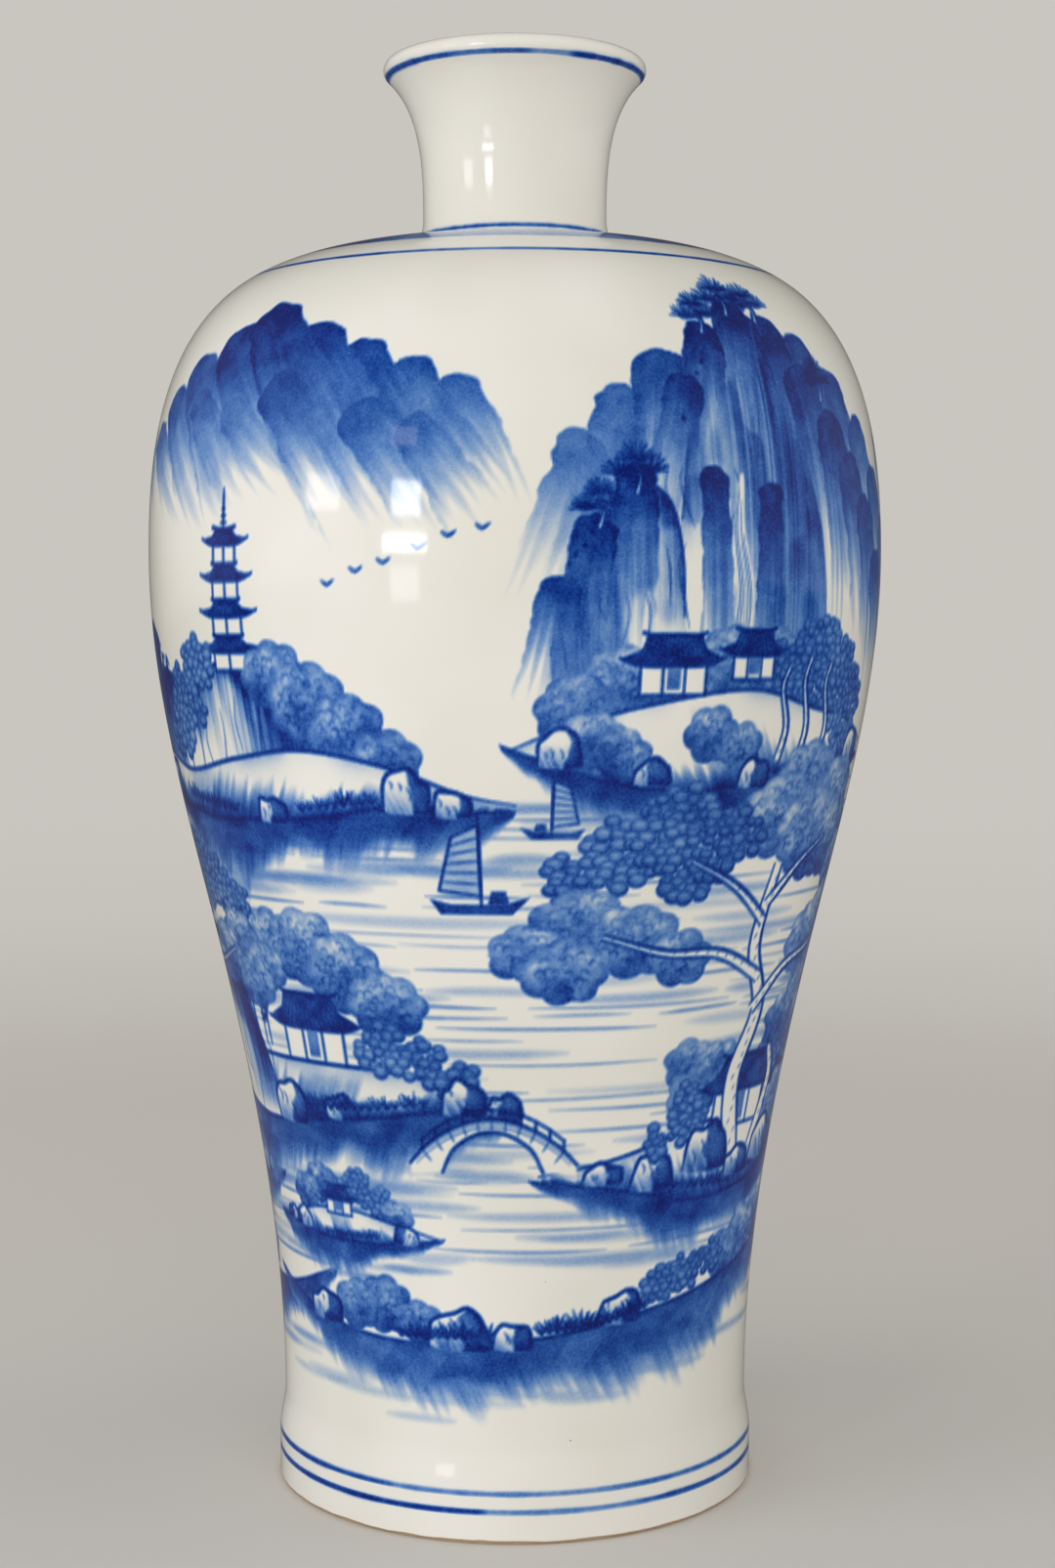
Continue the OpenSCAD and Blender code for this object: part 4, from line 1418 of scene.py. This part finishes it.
def soft_lamp(name, turn, rise, distance, size, radiance, aim_z, tint, mirrored):
    """A flat lamp that faces the vase and is out of the camera's sight."""
    lamp = bpy.data.lights.new(name, "AREA")
    lamp.shape = "RECTANGLE"
    lamp.size, lamp.size_y = size
    lamp.energy = radiance * pi * size[0] * size[1]
    lamp.color = colour(tint)[:3]
    shown = placed(name, lamp)
    level = cos(radians(rise))
    away = Vector((sin(radians(turn)) * level, -cos(radians(turn)) * level, sin(radians(rise))))
    shown.location = Vector((0, 0, aim_z)) + away * distance
    shown.rotation_euler = away.to_track_quat("Z", "Y").to_euler()
    shown.visible_camera = False
    shown.visible_glossy = mirrored


def light_studio():
    for name, pane in WINDOW.items():
        soft_lamp(name, *pane, DAYLIGHT, mirrored=True)
    for name, box in SOFT_BOXES.items():
        soft_lamp(name, *box, mirrored=False)


def paint_world():
    """A room that lights the vase evenly from all sides and less from above, with dark walls
    for the glaze to mirror. The camera sees the pale backdrop."""
    world = bpy.data.worlds.new("room")
    tree = emptied(world)
    mirrored = add(tree, "ShaderNodeLightPath", out="Is Glossy Ray")
    seen = add(tree, "ShaderNodeLightPath", out="Is Camera Ray")
    # In the glaze the walls are dark, with a soft pale curtain at either side
    facing = add(tree, "ShaderNodeTexCoord", out="Generated")
    sideways = add(tree, "ShaderNodeSeparateXYZ", {"Vector": facing}, "X")
    sideways = add(tree, MATHS, {0: sideways}, operation="ABSOLUTE")
    upwards = add(tree, "ShaderNodeSeparateXYZ", {"Vector": facing}, "Z")
    above = add(tree, RANGE, {"Value": upwards, "From Min": 0.2, "From Max": 0.9},
                interpolation_type="SMOOTHSTEP")
    room = add(tree, MIX, {0: above, 6: colour(ROOM_LIGHT), 7: colour(ROOM_CEILING)}, 2, data_type="RGBA")
    curtain = add(tree, RANGE, {"Value": sideways, "From Min": 0.5, "From Max": 1.0},
                  interpolation_type="SMOOTHSTEP")
    walls = add(tree, MIX, {0: curtain, 6: colour(ROOM_WALLS), 7: colour(ROOM_CURTAINS)}, 2, data_type="RGBA")
    shade = add(tree, MIX, {0: mirrored, 6: room, 7: walls}, 2, data_type="RGBA")
    shade = add(tree, MIX, {0: seen, 6: shade, 7: colour(BACKDROP)}, 2, data_type="RGBA")
    sky = add(tree, "ShaderNodeBackground", {"Color": shade, "Strength": 1.0})
    add(tree, "ShaderNodeOutputWorld", {"Surface": sky})
    bpy.context.scene.world = world


def lay_floor():
    """A wide pale sweep of paper that takes the vase's shadow and fades into the backdrop."""
    mesh = bpy.data.meshes.new("floor")
    shape = bmesh.new()
    bmesh.ops.create_circle(shape, cap_ends=True, radius=FLOOR_R, segments=96)
    shape.to_mesh(mesh)
    shape.free()
    floor = placed("floor", mesh)
    material = bpy.data.materials.new("pale_backdrop_paper")
    tree = emptied(material)
    place = add(tree, "ShaderNodeTexCoord", out="Object")
    away = add(tree, "ShaderNodeVectorMath", {0: place}, "Value", operation="LENGTH")
    near = add(tree, MATHS, {0: 1.0, 1: away}, operation="DIVIDE")
    far = add(tree, RANGE, {"Value": near, "From Min": 1 / FADE_FROM, "From Max": 1 / FADE_TO},
              interpolation_type="SMOOTHERSTEP")
    mirrored = add(tree, "ShaderNodeLightPath", out="Is Glossy Ray")
    shade = add(tree, MIX, {0: mirrored, 6: colour(PAPER), 7: colour(PAPER_IN_GLAZE)}, 2, data_type="RGBA")
    paper = add(tree, "ShaderNodeBsdfDiffuse", {"Color": shade})
    shade = add(tree, MIX, {0: mirrored, 6: colour(BACKDROP), 7: colour(ROOM_WALLS)}, 2, data_type="RGBA")
    distant = add(tree, "ShaderNodeEmission", {"Color": shade, "Strength": 1.0})
    blend = add(tree, "ShaderNodeMixShader", {0: far, 1: paper, 2: distant})
    add(tree, "ShaderNodeOutputMaterial", {"Surface": blend})
    mesh.materials.append(material)


set_camera()
light_studio()
paint_world()
lay_floor()
brush = Brush(WALL_LINE, PITCH, seed=11)
paint(brush)
throw_sections(brush.cobalt, {
    "body": porcelain_glaze("glazed_porcelain"),
    "foot": porcelain_glaze("glazed_porcelain_bare_foot", bare_foot=True),
})

bpy.context.scene.view_settings.view_transform = "Standard"
bpy.context.view_layer.update()
